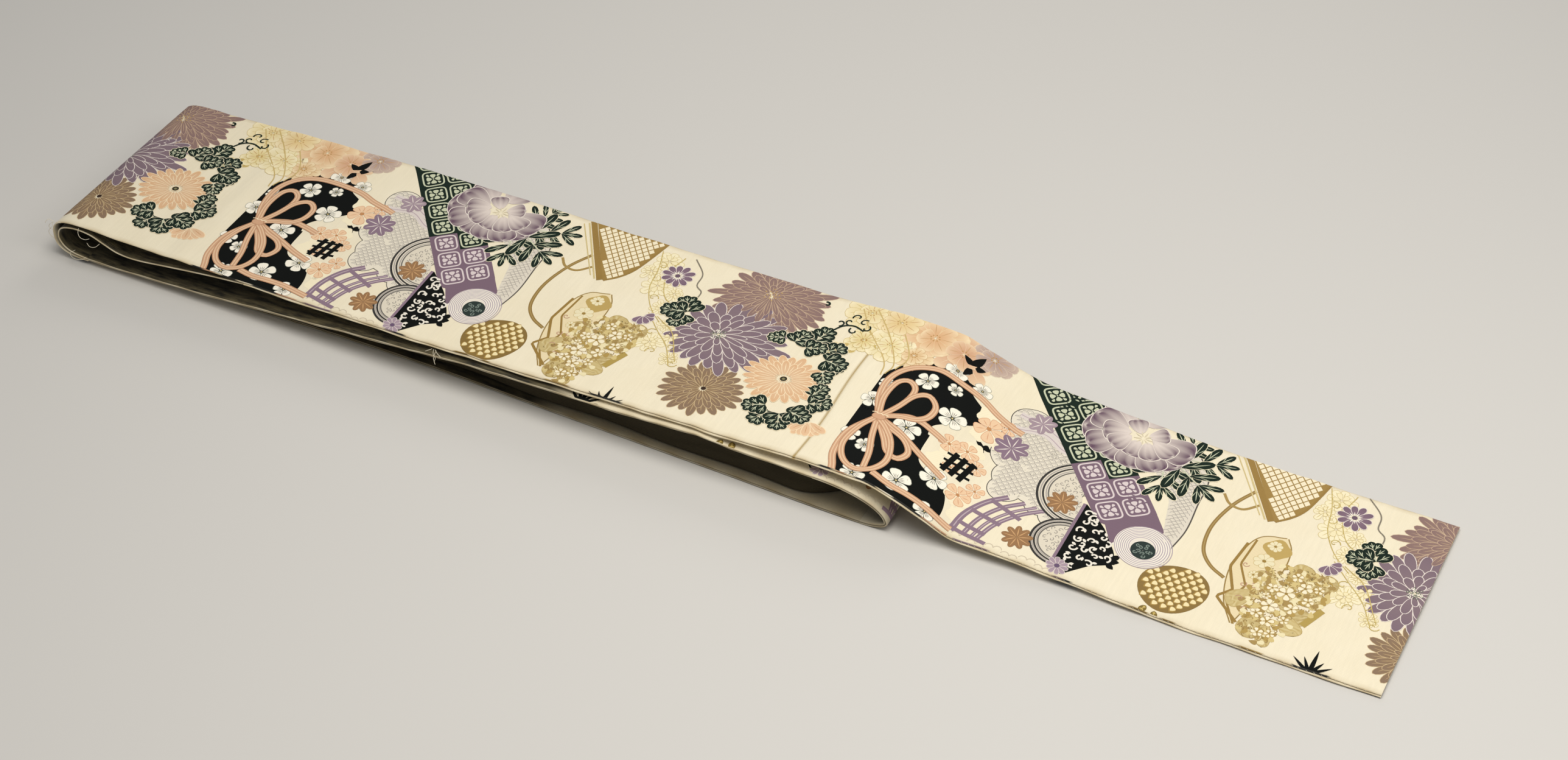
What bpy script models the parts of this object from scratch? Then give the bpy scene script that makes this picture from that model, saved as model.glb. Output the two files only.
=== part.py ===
"""A maru obi, the wide sash of formal kimono dress, laid down folded in three runs.

Two panels of brocade lie back to back, seamed along both long edges. The top run lies on the
stack, drops over its right fold and goes on along the floor to the free end. The left fold turns
it under into the middle run, which climbs to the right fold, and the bottom run lies flat on the
floor. Each stretch of a panel that shows is a wall of its own. The layers that never show share
one rounded solid, with a lip at each long edge for each layer.

x runs along the obi from the left fold, y across it from the near edge, z up from the floor. The
last step moves everything so that the origin is under the middle of the whole.
"""

import bpy
import numpy as np

# Driving sizes, in metres.
LENGTH = 1.868           # left fold to the free end, along x
WIDTH = 0.310            # finished width of the obi
PLY = 0.0024             # one panel with its turned edge
PLY_GAP = 0.0004         # between the two panels, back to back
SEAM = 0.0003            # between stretches of one panel
NOSE = 0.0008            # how far a long edge's rounded turning stands out
DOUBLE = 2 * PLY + PLY_GAP

# Where the stretches of the panels meet, along x.
FOLD_START = 0.038       # where the left fold's bend begins, above and below
BELLY = 0.300            # where the back panel leaves the top run, inside the left fold
RIGHT_TOP = 1.140        # shoulder of the right fold
RIGHT_FOOT = 1.205       # foot of the right fold
BOTTOM_END = 0.062       # the end of the obi that lies hidden under the stack

# Upper face of the top run: height of its near and far edges, and where its near edge is in y.
#    x           near    far     side
TOP_RUN = np.array([
    (FOLD_START, 0.0660, 0.0600, 0.0000),
    (0.1300,     0.0622, 0.0612, 0.0010),
    (0.2400,     0.0600, 0.0640, 0.0020),
    (0.4200,     0.0570, 0.0655, 0.0030),
    (0.5800,     0.0575, 0.0640, 0.0030),
    (0.7200,     0.0615, 0.0632, 0.0010),
    (0.9000,     0.0660, 0.0628, 0.0000),
    (1.0400,     0.0685, 0.0640, -0.0010),
    (1.1200,     0.0700, 0.0670, 0.0000),
    (1.2000,     0.0670, 0.0632, 0.0010),
    (1.2450,     0.0560, 0.0485, 0.0000),
    (1.2850,     0.0385, 0.0335, 0.0000),
    (1.3250,     0.0205, 0.0225, 0.0010),
    (1.3900,     0.0160, 0.0160, 0.0020),
    (1.4600,     0.0125, 0.0110, 0.0010),
    (1.5400,     0.0085, 0.0078, -0.0020),
    (1.6400,     DOUBLE, DOUBLE, -0.0050),
    (LENGTH,     DOUBLE, DOUBLE, -0.0090),
])

# Upper face of the middle run, from the left fold's foot to the right fold's shoulder.
#    x           near    far     side
MIDDLE_RUN = np.array([
    (FOLD_START, 0.0112, 0.0112, 0.0000),
    (0.1600,     0.0145, 0.0180, -0.0010),
    (0.3200,     0.0250, 0.0340, -0.0020),
    (0.5000,     0.0390, 0.0500, -0.0040),
    (0.6800,     0.0520, 0.0560, -0.0060),
    (0.8600,     0.0560, 0.0562, -0.0070),
    (0.9850,     0.0600, 0.0565, -0.0070),
    (1.0500,     0.0555, 0.0572, -0.0060),
    (RIGHT_TOP,  0.0535, 0.0560, -0.0060),
])

# Under face of the bottom run, on the floor. It lies a little askew under the others.
#    x           near    far     side
BOTTOM_RUN = np.array([
    (BOTTOM_END, 0.0000, 0.0000, 0.0080),
    (0.2500,     0.0000, 0.0000, 0.0150),
    (0.5000,     0.0000, 0.0000, 0.0180),
    (0.8000,     0.0000, 0.0000, 0.0080),
    (1.0000,     0.0000, 0.0000, 0.0010),
    (RIGHT_FOOT, 0.0000, 0.0000, -0.0060),
])

# The back panel inside the left fold at the near edge, where its seam is open: it stands up
# inside the fold, then hangs in a belly under the top run.
#    x       z
BELLY_LINE = np.array([
    (0.0120, 0.0125),
    (-0.0020, 0.0215),
    (-0.0070, 0.0360),
    (0.0010, 0.0510),
    (0.0240, 0.0578),
    (0.0500, 0.0560),
    (0.0720, 0.0470),
    (0.0940, 0.0385),
    (0.1250, 0.0370),
    (0.1800, 0.0435),
    (0.2400, 0.0505),
])
BELLY_FADE = 1.8         # how fast the belly is lost towards the closed far seam

# The folds, as quarter ovals of the outer face.
LEFT_FOLD_REACH = 0.052
LEFT_FOLD_WAIST = 0.0360
LEFT_FOLD_FOOT = DOUBLE + 0.0006
LEFT_FOLD_SQUARE = 2.8   # 2 is an ellipse, and more is squarer
RIGHT_FOLD_NOSE = 1.242
RIGHT_FOLD_WAIST = 0.0125

# The hidden layers: two lips at each long edge, and the core between them.
LIP = 0.0024
LIP_INSET = 0.0022       # from the edge of the panel next to it
LIP_ROUND = 0.0010
HIDDEN_GAP = 0.0010       # under the panel on top, whose face twists a little
CORE_INSET = 0.034
CORE_SWELL = 0.008
FILLET_SHARE = 0.25      # of the height between the lips

STEP = 0.050             # longest step between a run's stations
COLUMNS = 5              # across a wide wall
FOLD_COLUMNS = 4

COLOURS = {
    "front_panel": (0.840, 0.770, 0.610),
    "back_panel": (0.800, 0.725, 0.560),
    "hidden_layers": (0.420, 0.360, 0.270),
}


def column(table, number, xs):
    """A table's column at xs: cubic pieces through the rows, which never overshoot a row."""
    x, y = table[:, 0], table[:, number]
    step, rise = np.diff(x), np.diff(y)
    slope = rise / step
    product = slope[:-1] * slope[1:]
    total = np.where(product > 0, slope[:-1] + slope[1:], 1.0)
    tangent = np.zeros(len(x))
    tangent[1:-1] = np.where(product > 0, 2 * product / total, 0.0)
    i = np.clip(np.searchsorted(x, xs, side="right") - 1, 0, len(x) - 2)
    t = np.clip((xs - x[i]) / step[i], 0.0, 1.0)
    lead_in = tangent[i] * t * (1 - t) ** 2
    lead_out = tangent[i + 1] * t * t * (1 - t)
    return y[i] + rise[i] * t * t * (3 - 2 * t) + step[i] * (lead_in - lead_out)


def spaced(path, count):
    """count points evenly spaced along a path of x, z points."""
    steps = np.linalg.norm(np.diff(path, axis=0), axis=1)
    along = np.concatenate([[0], np.cumsum(steps)])
    at = np.linspace(0, along[-1], count)
    return np.stack([np.interp(at, along, path[:, k]) for k in (0, 1)], axis=1)


def through(points):
    """A fine Catmull-Rom curve through the rows of points."""
    ends = np.vstack([2 * points[0] - points[1], points, 2 * points[-1] - points[-2]])
    t = np.linspace(0, 1, 12, endpoint=False)[:, None]
    pieces = []
    for a, b, c, d in zip(ends[:-3], ends[1:-2], ends[2:-1], ends[3:]):
        pieces.append(0.5 * (2 * b + (c - a) * t + (2 * a - 5 * b + 4 * c - d) * t ** 2
                             + (3 * b - a - 3 * c + d) * t ** 3))
    return np.vstack(pieces + [points[-1:]])


def oval(centre, reach, rise, start, stop, square=2.0):
    """A fine arc of a superellipse in x and z, between two angles in degrees."""
    angle = np.radians(np.linspace(start, stop, 40))
    c, s = np.cos(angle), np.sin(angle)
    x = centre[0] + reach * np.sign(c) * np.abs(c) ** (2 / square)
    z = centre[1] + rise * np.sign(s) * np.abs(s) ** (2 / square)
    return np.stack([x, z], axis=1)


def moved_in(path, depth):
    """The path moved square to itself, to the right of its way as seen from the near edge."""
    way = np.gradient(path, axis=0)
    way /= np.linalg.norm(way, axis=1)[:, None]
    return path + depth * np.stack([way[:, 1], -way[:, 0]], axis=1)


def stations(table, start, stop):
    """Stations along x: the table's rows between start and stop, and even steps between."""
    rows = [x for x in table[:, 0] if start + 0.004 < x < stop - 0.004]
    marks = [start] + rows + [stop]
    xs = [start]
    for a, b in zip(marks[:-1], marks[1:]):
        steps = int(np.ceil((b - a) / STEP))
        xs += list(a + (b - a) * np.arange(1, steps + 1) / steps)
    return np.array(xs)


def run_paths(table, xs, depth=0.0):
    """The near and far x, z paths along a run, at a depth under its listed face."""
    return [moved_in(np.stack([xs, column(table, k, xs)], axis=1), depth) for k in (1, 2)]


def remove_old_objects():
    """Clears what a new file holds."""
    for old in list(bpy.data.objects):
        bpy.data.objects.remove(old)


def cloth(name):
    """The brocade's plain material for one node."""
    material = bpy.data.materials.new(name)
    material.use_nodes = True
    shader = material.node_tree.nodes["Principled BSDF"]
    base = next(colour for kind, colour in COLOURS.items() if name.startswith(kind))
    shader.inputs["Base Color"].default_value = (*base, 1.0)
    shader.inputs["Roughness"].default_value = 0.75
    shader.inputs["Metallic"].default_value = 0.0
    return material


def add_solid(name, points, faces):
    """One object from an array of points and a list of faces, in its own material."""
    mesh = bpy.data.meshes.new(name)
    mesh.from_pydata(points.tolist(), [], faces)
    mesh.update()
    mesh.materials.append(cloth(name))
    solid = bpy.data.objects.new(name, mesh)
    bpy.context.scene.collection.objects.link(solid)


def wall(name, paths, side, columns, belly=None):
    """A panel as a wall PLY thick. paths are its outer face's x, z paths at the near and far
    edges, side is the near edge's y, and belly is the path that the near edge really takes
    where its seam is open, lost towards the far edge."""
    near, far = paths
    belly = near if belly is None else belly
    rows, width = len(near), columns + 1
    across = np.linspace(0, 1, width)
    share = across[None, :, None]
    loose = (1 - share) ** BELLY_FADE
    y = side[:, None] + WIDTH * across[None, :]

    def face(depth):
        a, b, c = [moved_in(path, depth)[:, None, :] for path in (near, far, belly)]
        xz = a * (1 - share) + b * share + (c - a) * loose
        return np.stack([xz[..., 0], y, xz[..., 1]], axis=2).reshape(-1, 3)

    def nose(path, nose_y):
        middle = moved_in(path, PLY / 2)
        return np.stack([middle[:, 0], nose_y, middle[:, 1]], axis=1)

    points = np.vstack([face(0.0), face(PLY), nose(belly, side - NOSE),
                        nose(far, side + WIDTH + NOSE)])
    inner = rows * width
    near_nose = 2 * inner
    far_nose = near_nose + rows
    faces = []
    for i in range(rows - 1):
        for j in range(columns):
            a, b = i * width + j, (i + 1) * width + j
            faces.append((a, b, b + 1, a + 1))
            faces.append((inner + a, inner + a + 1, inner + b + 1, inner + b))
        a, b = i * width, (i + 1) * width
        m, n = near_nose + i, near_nose + i + 1
        faces += [(a, m, n, b), (m, inner + a, inner + b, n)]
        a, b = a + columns, b + columns
        m, n = far_nose + i, far_nose + i + 1
        faces += [(b, n, m, a), (n, inner + b, inner + a, m)]
    for row, turn in ((0, 1), (rows - 1, -1)):
        a = row * width
        b = a + columns
        cap = [(a + j, a + j + 1, inner + a + j + 1, inner + a + j) for j in range(columns)]
        cap += [(a, inner + a, near_nose + row), (b, far_nose + row, inner + b)]
        faces += [corner[::turn] for corner in cap]
    add_solid(name, points, faces)


def top_run():
    """The two panels over the stack, down over the right fold and along the floor."""
    for name, start, depth in (("front_panel_top_run", FOLD_START + SEAM, 0.0),
                               ("back_panel_top_run", BELLY + SEAM, PLY + PLY_GAP)):
        xs = stations(TOP_RUN, start, LENGTH)
        wall(name, run_paths(TOP_RUN, xs, depth), column(TOP_RUN, 3, xs), COLUMNS)


def left_fold():
    """The front panel round the outside of the fold, and the back panel inside it, which goes
    on as a belly under the start of the top run. Both go from the foot up and round."""
    outside = []
    for top in TOP_RUN[0, 1:3]:
        waist = (FOLD_START, LEFT_FOLD_WAIST)
        under = oval(waist, LEFT_FOLD_REACH, LEFT_FOLD_WAIST - LEFT_FOLD_FOOT,
                     270, 180, LEFT_FOLD_SQUARE)
        over = oval(waist, LEFT_FOLD_REACH, top - LEFT_FOLD_WAIST,
                    180, 90, LEFT_FOLD_SQUARE)
        outside.append(np.vstack([under[:-1], over]))
    rows = 17
    wall("front_panel_left_fold", [spaced(path, rows) for path in outside],
         np.zeros(rows), FOLD_COLUMNS)

    rows = 31
    depth = PLY + PLY_GAP
    tops = run_paths(TOP_RUN, np.linspace(FOLD_START, BELLY, 30), depth)
    inside = [spaced(np.vstack([moved_in(path, depth)[:-1], top]), rows)
              for path, top in zip(outside, tops)]
    belly = np.vstack([inside[0][:1], BELLY_LINE, inside[0][-1:]])
    belly = spaced(through(belly), rows)
    side = column(TOP_RUN, 3, np.maximum(inside[0][:, 0], FOLD_START))
    wall("back_panel_left_fold", inside, side, COLUMNS, belly)


def middle_run():
    """The back panel's stretch that lies on top of the middle run."""
    xs = stations(MIDDLE_RUN, FOLD_START + SEAM, RIGHT_TOP)
    wall("back_panel_middle_run", run_paths(MIDDLE_RUN, xs), column(MIDDLE_RUN, 3, xs),
         FOLD_COLUMNS)


def right_fold():
    """The back panel round the outside of the right fold and the front panel inside it."""
    rows = 17
    outside = []
    for top in MIDDLE_RUN[-1, 1:3]:
        over = oval((RIGHT_TOP + SEAM, RIGHT_FOLD_WAIST), RIGHT_FOLD_NOSE - RIGHT_TOP - SEAM,
                    top - RIGHT_FOLD_WAIST, 90, 0)
        under = oval((RIGHT_FOOT, RIGHT_FOLD_WAIST), RIGHT_FOLD_NOSE - RIGHT_FOOT,
                     RIGHT_FOLD_WAIST, 0, -90)
        outside.append(spaced(np.vstack([over[:-1], under]), rows))
    side = np.full(rows, MIDDLE_RUN[-1, 3])
    wall("back_panel_right_fold", outside, side, FOLD_COLUMNS)
    inside = [moved_in(path, PLY + PLY_GAP) for path in outside]
    wall("front_panel_right_fold", inside, side, FOLD_COLUMNS)


def bottom_run():
    """The back panel's stretch that lies flat on the floor, from the right fold's foot."""
    xs = stations(BOTTOM_RUN, BOTTOM_END, RIGHT_FOOT - SEAM)[::-1]
    wall("back_panel_bottom_run", run_paths(BOTTOM_RUN, xs), column(BOTTOM_RUN, 3, xs),
         FOLD_COLUMNS)


def hidden_layers():
    """The middle run's under layer and the bottom run's upper layer, as one solid: sections
    across x, each with two lips at either long edge and a swelling core between them."""
    xs = stations(MIDDLE_RUN, FOLD_START + SEAM, RIGHT_TOP - SEAM)
    tops = run_paths(MIDDLE_RUN, xs, PLY + HIDDEN_GAP)
    low = PLY + SEAM

    def edge(top, high_side, low_side):
        """One long edge's points for all the sections, from the top down, as if it were near."""
        high_side, low_side = high_side + LIP_INSET, low_side + LIP_INSET
        core_side = np.maximum(high_side, low_side) + CORE_INSET
        x, high = top[:, 0], top[:, 1]
        fillet = FILLET_SHARE * (high - low - 2 * LIP)
        rows = (
            # inset from the edge              height
            (high_side + LIP_ROUND,            high),
            (high_side,                        high - LIP / 2),
            (high_side + LIP_ROUND,            high - LIP),
            (core_side,                        high - LIP - fillet),
            (core_side - CORE_SWELL,           (high + low) / 2),
            (core_side,                        low + LIP + fillet),
            (low_side + LIP_ROUND,             low + LIP + 0 * x),
            (low_side,                         low + LIP / 2 + 0 * x),
            (low_side + LIP_ROUND,             low + 0 * x),
        )
        insets = np.stack([inset for inset, height in rows], axis=1)
        heights = np.stack([height for inset, height in rows], axis=1)
        return np.stack([np.repeat(x[:, None], len(rows), axis=1), insets, heights], axis=2)

    high_side, low_side = column(MIDDLE_RUN, 3, xs), column(BOTTOM_RUN, 3, xs)
    near = edge(tops[0], high_side, low_side)
    far = edge(tops[1], -high_side, -low_side)
    far[..., 1] = WIDTH - far[..., 1]
    sections, steps = near.shape[:2]
    points = np.concatenate([near, far], axis=1).reshape(-1, 3)
    ring = 2 * steps
    faces = []
    for i in range(sections - 1):
        a, b = i * ring, (i + 1) * ring
        for k in range(steps - 1):
            faces.append((a + k, a + k + 1, b + k + 1, b + k))
            faces.append((a + steps + k + 1, a + steps + k, b + steps + k, b + steps + k + 1))
        faces.append((b, b + steps, a + steps, a))
        last = steps - 1
        faces.append((a + last, a + steps + last, b + steps + last, b + last))
    for section, turn in ((0, 1), (sections - 1, -1)):
        a = section * ring
        cap = [(a + k, a + steps + k, a + steps + k + 1, a + k + 1) for k in range(steps - 1)]
        faces += [corner[::turn] for corner in cap]
    add_solid("hidden_layers", points, faces)


def centre_on_floor():
    """Moves every mesh so that the origin is at the middle of the whole's underside."""
    meshes = [solid.data for solid in bpy.data.objects]
    corners = np.array([vertex.co for mesh in meshes for vertex in mesh.vertices])
    middle = (corners.min(axis=0) + corners.max(axis=0)) / 2
    for mesh in meshes:
        for vertex in mesh.vertices:
            vertex.co.x -= middle[0]
            vertex.co.y -= middle[1]


remove_old_objects()
top_run()
left_fold()
middle_run()
right_fold()
bottom_run()
hidden_layers()
centre_on_floor()
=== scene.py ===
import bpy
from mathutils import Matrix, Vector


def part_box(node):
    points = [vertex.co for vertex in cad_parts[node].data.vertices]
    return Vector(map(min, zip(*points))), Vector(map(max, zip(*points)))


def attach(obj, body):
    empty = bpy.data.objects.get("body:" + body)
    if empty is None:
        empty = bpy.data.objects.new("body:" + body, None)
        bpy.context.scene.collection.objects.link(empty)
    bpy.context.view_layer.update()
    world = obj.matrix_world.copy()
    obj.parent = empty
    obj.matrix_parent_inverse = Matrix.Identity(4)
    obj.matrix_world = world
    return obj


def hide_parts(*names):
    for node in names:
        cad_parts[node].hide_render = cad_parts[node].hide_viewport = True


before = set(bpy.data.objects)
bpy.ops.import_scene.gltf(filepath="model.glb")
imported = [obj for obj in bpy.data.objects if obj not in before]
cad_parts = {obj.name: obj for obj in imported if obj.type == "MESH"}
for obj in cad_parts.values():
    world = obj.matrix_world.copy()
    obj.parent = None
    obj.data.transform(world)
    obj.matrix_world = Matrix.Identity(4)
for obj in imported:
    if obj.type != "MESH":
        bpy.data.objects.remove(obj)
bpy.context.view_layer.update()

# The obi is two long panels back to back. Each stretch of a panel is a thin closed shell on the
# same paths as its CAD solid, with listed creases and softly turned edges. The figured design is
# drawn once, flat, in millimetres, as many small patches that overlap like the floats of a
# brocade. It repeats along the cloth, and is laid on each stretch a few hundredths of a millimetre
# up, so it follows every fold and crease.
"""A maru obi in cream figured brocade, laid down folded in three runs.

The obi is two long panels back to back. Each stretch of a panel is a thin closed shell on the
same paths as its CAD solid, with hand-placed creases and softly turned edges. The figured design
is drawn once, flat, in millimetres, as many small patches that overlap like the floats of a
brocade. It repeats along the cloth, and is laid on each stretch a few hundredths of a millimetre
up, so it follows every fold and crease.

On the cloth, d runs along it from the left fold and v across it from the near edge. x runs
along the obi, y across it and z up, in metres.
"""

import bpy
import numpy as np
from mathutils import Matrix, Vector

MM = 0.001

# ------------------------------
# Sizes that the CAD gives the cloth, in metres.
# ------------------------------
LENGTH = 1.868        # x of the free end
WIDTH = 0.310
PLY = 0.0024          # one panel with its half of the padding
PLY_GAP = 0.0004      # between the two panels
NOSE = 0.0008         # how far a long edge is rounded out past the width
DOUBLE = 2 * PLY + PLY_GAP
FOLD_START = 0.038    # x where the left fold passes into the runs
BELLY = 0.300         # x where the inner panel's belly ends
RIGHT_TOP = 1.140     # x of the right fold's shoulder
RIGHT_FOOT = 1.205    # x of the right fold's foot
BOTTOM_END = 0.062    # x where the bottom run ends
SEAM = 0.0003         # left between one stretch of a panel and the next

# Upper face of the top run: height of its near and far edges, and where its near edge is in y.
#    x           near    far     side
TOP_RUN = np.array([
    (FOLD_START, 0.0660, 0.0600, 0.0000),
    (0.1300,     0.0622, 0.0612, 0.0010),
    (0.2400,     0.0600, 0.0640, 0.0020),
    (0.4200,     0.0570, 0.0655, 0.0030),
    (0.5800,     0.0575, 0.0640, 0.0030),
    (0.7200,     0.0615, 0.0632, 0.0010),
    (0.9000,     0.0660, 0.0628, 0.0000),
    (1.0400,     0.0685, 0.0640, -0.0010),
    (1.1200,     0.0700, 0.0670, 0.0000),
    (1.2000,     0.0670, 0.0632, 0.0010),
    (1.2450,     0.0560, 0.0485, 0.0000),
    (1.2850,     0.0385, 0.0335, 0.0000),
    (1.3250,     0.0205, 0.0225, 0.0010),
    (1.3900,     0.0160, 0.0160, 0.0020),
    (1.4600,     0.0125, 0.0110, 0.0010),
    (1.5400,     0.0085, 0.0078, -0.0020),
    (1.6400,     DOUBLE, DOUBLE, -0.0050),
    (LENGTH,     DOUBLE, DOUBLE, -0.0090),
])

# Upper face of the middle run, from the left fold's foot to the right fold's shoulder.
#    x           near    far     side
MIDDLE_RUN = np.array([
    (FOLD_START, 0.0112, 0.0112, 0.0000),
    (0.1600,     0.0145, 0.0180, -0.0010),
    (0.3200,     0.0250, 0.0340, -0.0020),
    (0.5000,     0.0390, 0.0500, -0.0040),
    (0.6800,     0.0520, 0.0560, -0.0060),
    (0.8600,     0.0560, 0.0562, -0.0070),
    (0.9850,     0.0600, 0.0565, -0.0070),
    (1.0500,     0.0555, 0.0572, -0.0060),
    (RIGHT_TOP,  0.0535, 0.0560, -0.0060),
])

# The bottom run, flat on the floor and a little askew.
#    x           side
BOTTOM_RUN = np.array([
    (BOTTOM_END, 0.0080),
    (0.2500,     0.0150),
    (0.5000,     0.0180),
    (0.8000,     0.0080),
    (1.0000,     0.0010),
    (RIGHT_FOOT, -0.0060),
])

# The back panel inside the left fold, at the near edge, where its seam is open.
#    x       z
BELLY_LINE = np.array([
    (0.0120, 0.0125),
    (-0.0020, 0.0215),
    (-0.0070, 0.0360),
    (0.0010, 0.0510),
    (0.0240, 0.0578),
    (0.0500, 0.0560),
    (0.0720, 0.0470),
    (0.0940, 0.0385),
    (0.1250, 0.0370),
    (0.1800, 0.0435),
    (0.2400, 0.0505),
])
BELLY_FADE = 1.8                  # power by which the belly fades across the cloth

LEFT_FOLD_REACH = 0.052           # from FOLD_START to the fold's outermost line
LEFT_FOLD_WAIST = 0.0360          # height of that line
LEFT_FOLD_FOOT = DOUBLE + 0.0006
LEFT_FOLD_SQUARE = 2.8            # 2 would be a true oval
RIGHT_FOLD_NOSE = 1.242           # x of the right fold's outermost line
RIGHT_FOLD_WAIST = 0.0125

# The CAD's own boxes say where the left fold and the near edge are in the row frame.
SHIFT_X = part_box("front_panel_top_run")[0][0] - (FOLD_START + SEAM)
SHIFT_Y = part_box("front_panel_left_fold")[0][1] + NOSE

# ------------------------------
# Sizes of the visible cloth and of the design, in metres.
# ------------------------------
CLOTH = 0.0020           # one panel with its padding, as it shows
REPEAT = 0.934           # of the figured design along the cloth
LIFT = 0.10 * MM         # of the lowest figure over the ground
LEVEL = 0.013 * MM       # from one figure to the next that lies on it
FLAT_ERROR = 0.006 * MM  # how far a figure's flat facet may leave the curved cloth
CREASE_BEND = 2.2 * MM   # how far a crease wanders to either side of its line
TURNED_IN = 8 * MM       # width of the ground that is turned in at a seam
YELLOWED = 3.5 * MM      # width of an edge's yellowed margin
PAINTED_SHADE_FADE = 0.05        # over which the painted shade, in the dark colour of the weave's back, comes and goes

# Creases: a soft trough or ridge from one point of the cloth to another.
# Where it starts and ends, in mm along and across, its half width and its height in mm.
#    d0     v0   d1     v1   half  height
TOP_CREASES = np.array([
    (1113,  -5,  1112,  252, 3.2,  -0.55),
    (1112,  252, 1098,  316, 3.6,  -0.50),
    (1124,  -5,  1121,  250, 8.0,   0.55),
    (1102,  -5,  1101,  240, 7.0,   0.35),
    (196,   -5,  188,   300, 16.0,  0.90),
    (168,   -5,  172,   240, 11.0, -0.60),
    (724,   120, 716,   316, 7.0,  -0.50),
    (736,   90,  728,   300, 9.0,   0.40),
    (560,   -5,  600,   70,  12.0, -0.70),
    (640,   -5,  668,   90,  13.0,  0.80),
    (905,   -5,  880,   80,  12.0, -0.80),
    (975,   -5,  950,   60,  11.0,  0.75),
    (846,   316, 860,   200, 10.0, -0.60),
    (420,   316, 400,   210, 12.0, -0.80),
    (505,   316, 520,   230, 12.0,  0.60),
    (330,   -5,  345,   70,  10.0, -0.50),
    (1204,  -5,  1212,  316, 14.0,  0.80),
    (1330,  -5,  1322,  316, 12.0, -0.60),
    (1468,  316, 1500,  180, 12.0, -0.55),
    (1590,  -5,  1560,  120, 12.0, -0.60),
    (1662,  316, 1650,  60,  9.0,  -0.50),
    (1675,  316, 1664,  90,  10.0,  0.45),
    (1790,  -5,  1800,  130, 11.0,  0.55),
    (62,    316, 80,    150, 10.0, -0.50),
])
MIDDLE_CREASES = np.array([
    (905,   -5,  930,   60,  10.0, -0.70),
    (978,   -5,  990,   90,  9.0,   1.10),
    (1030,  -5,  1022,  80,  9.0,  -0.90),
    (700,   -5,  720,   90,  14.0,  0.60),
    (560,   -5,  540,   80,  12.0, -0.60),
    (300,   316, 330,   200, 13.0, -0.60),
    (640,   316, 610,   190, 14.0,  0.70),
    (880,   316, 905,   210, 12.0, -0.60),
])
NO_CREASES = np.zeros((0, 6))

# How far the figures of the top run stand off their even repeat, where the cloth has stretched
# and more of its near margin is turned in: along and across, in mm, at d in mm.
#    d     along  across
TOP_DRIFT = np.array([
    (-300, 0.0,   0.0),
    (120,  0.0,   0.0),
    (215,  5.5,   1.0),
    (380,  5.5,   1.0),
    (500,  4.0,   -6.0),
    (600,  1.0,   -11.0),
    (850,  0.0,   -11.0),
    (935,  0.0,   0.0),
    (1900, 0.0,   0.0),
])
NO_DRIFT = np.array([(0, 0, 0), (1, 0, 0)])


# ------------------------------
# Paths of the stretches, as the part's source has them.
# ------------------------------
def column(table, number, xs):
    """A table's column at xs: cubic pieces through the rows, which never overshoot a row."""
    x, y = table[:, 0], table[:, number]
    step, rise = np.diff(x), np.diff(y)
    slope = rise / step
    product = slope[:-1] * slope[1:]
    total = np.where(product > 0, slope[:-1] + slope[1:], 1.0)
    tangent = np.zeros(len(x))
    tangent[1:-1] = np.where(product > 0, 2 * product / total, 0.0)
    i = np.clip(np.searchsorted(x, xs, side="right") - 1, 0, len(x) - 2)
    t = np.clip((xs - x[i]) / step[i], 0.0, 1.0)
    lead_in = tangent[i] * t * (1 - t) ** 2
    lead_out = tangent[i + 1] * t * t * (1 - t)
    return y[i] + rise[i] * t * t * (3 - 2 * t) + step[i] * (lead_in - lead_out)


def length_of(path):
    """The length along a path from its start to each of its points."""
    return np.concatenate([[0], np.cumsum(np.linalg.norm(np.diff(path, axis=0), axis=1))])


def spaced(path, count):
    """count points evenly spaced along a path, whatever its dimension."""
    along = length_of(path)
    at = np.linspace(0, along[-1], count)
    return np.stack([np.interp(at, along, path[:, k]) for k in range(path.shape[1])], axis=1)


def through(points, count=12):
    """A fine Catmull-Rom curve through the rows of points."""
    points = np.asarray(points, float)
    ends = np.vstack([2 * points[0] - points[1], points, 2 * points[-1] - points[-2]])
    t = np.linspace(0, 1, count, endpoint=False)[:, None]
    a, b, c, d = [ends[k:len(ends) - 3 + k, None, :] for k in range(4)]
    curve = 0.5 * (2 * b + (c - a) * t + (2 * a - 5 * b + 4 * c - d) * t ** 2
                   + (3 * b - a - 3 * c + d) * t ** 3)
    return np.vstack([curve.reshape(-1, points.shape[1]), points[-1:]])


def oval(centre, reach, rise, start, stop, square=2.0):
    """A fine arc of a superellipse in x and z, between two angles in degrees."""
    angle = np.radians(np.linspace(start, stop, 160))
    c, s = np.cos(angle), np.sin(angle)
    x = centre[0] + reach * np.sign(c) * np.abs(c) ** (2 / square)
    z = centre[1] + rise * np.sign(s) * np.abs(s) ** (2 / square)
    return np.stack([x, z], axis=1)


def moved_in(path, depth):
    """The path moved square to itself, to the right of its way as seen from the near edge."""
    way = np.gradient(path, axis=0)
    way /= np.linalg.norm(way, axis=1)[:, None]
    return path + depth * np.stack([way[:, 1], -way[:, 0]], axis=1)


def softly(path, sweeps=12):
    """The path with small corners worn off: each inner point moves to its neighbours' mean."""
    path = path.copy()
    for _ in range(sweeps):
        path[1:-1] = 0.25 * path[:-2] + 0.5 * path[1:-1] + 0.25 * path[2:]
    return path


def closed_rings(stations, ring):
    """The faces of a closed tube of rings, all quads: its sides, from each ring to the next, then
    its first cap and its last, each in strips from one half of a ring to the other."""
    i, j = np.meshgrid(np.arange(stations - 1), np.arange(ring), indexing="ij")
    a, b = i * ring + j, i * ring + (j + 1) % ring
    sides = np.stack([a, a + ring, b + ring, b], -1).reshape(-1, 4)
    k = np.arange(ring // 2 - 1)
    cap = np.stack([k, k + 1, ring - 2 - k, ring - 1 - k], -1)
    return np.vstack([sides, cap, cap[:, ::-1] + (stations - 1) * ring])


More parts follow.
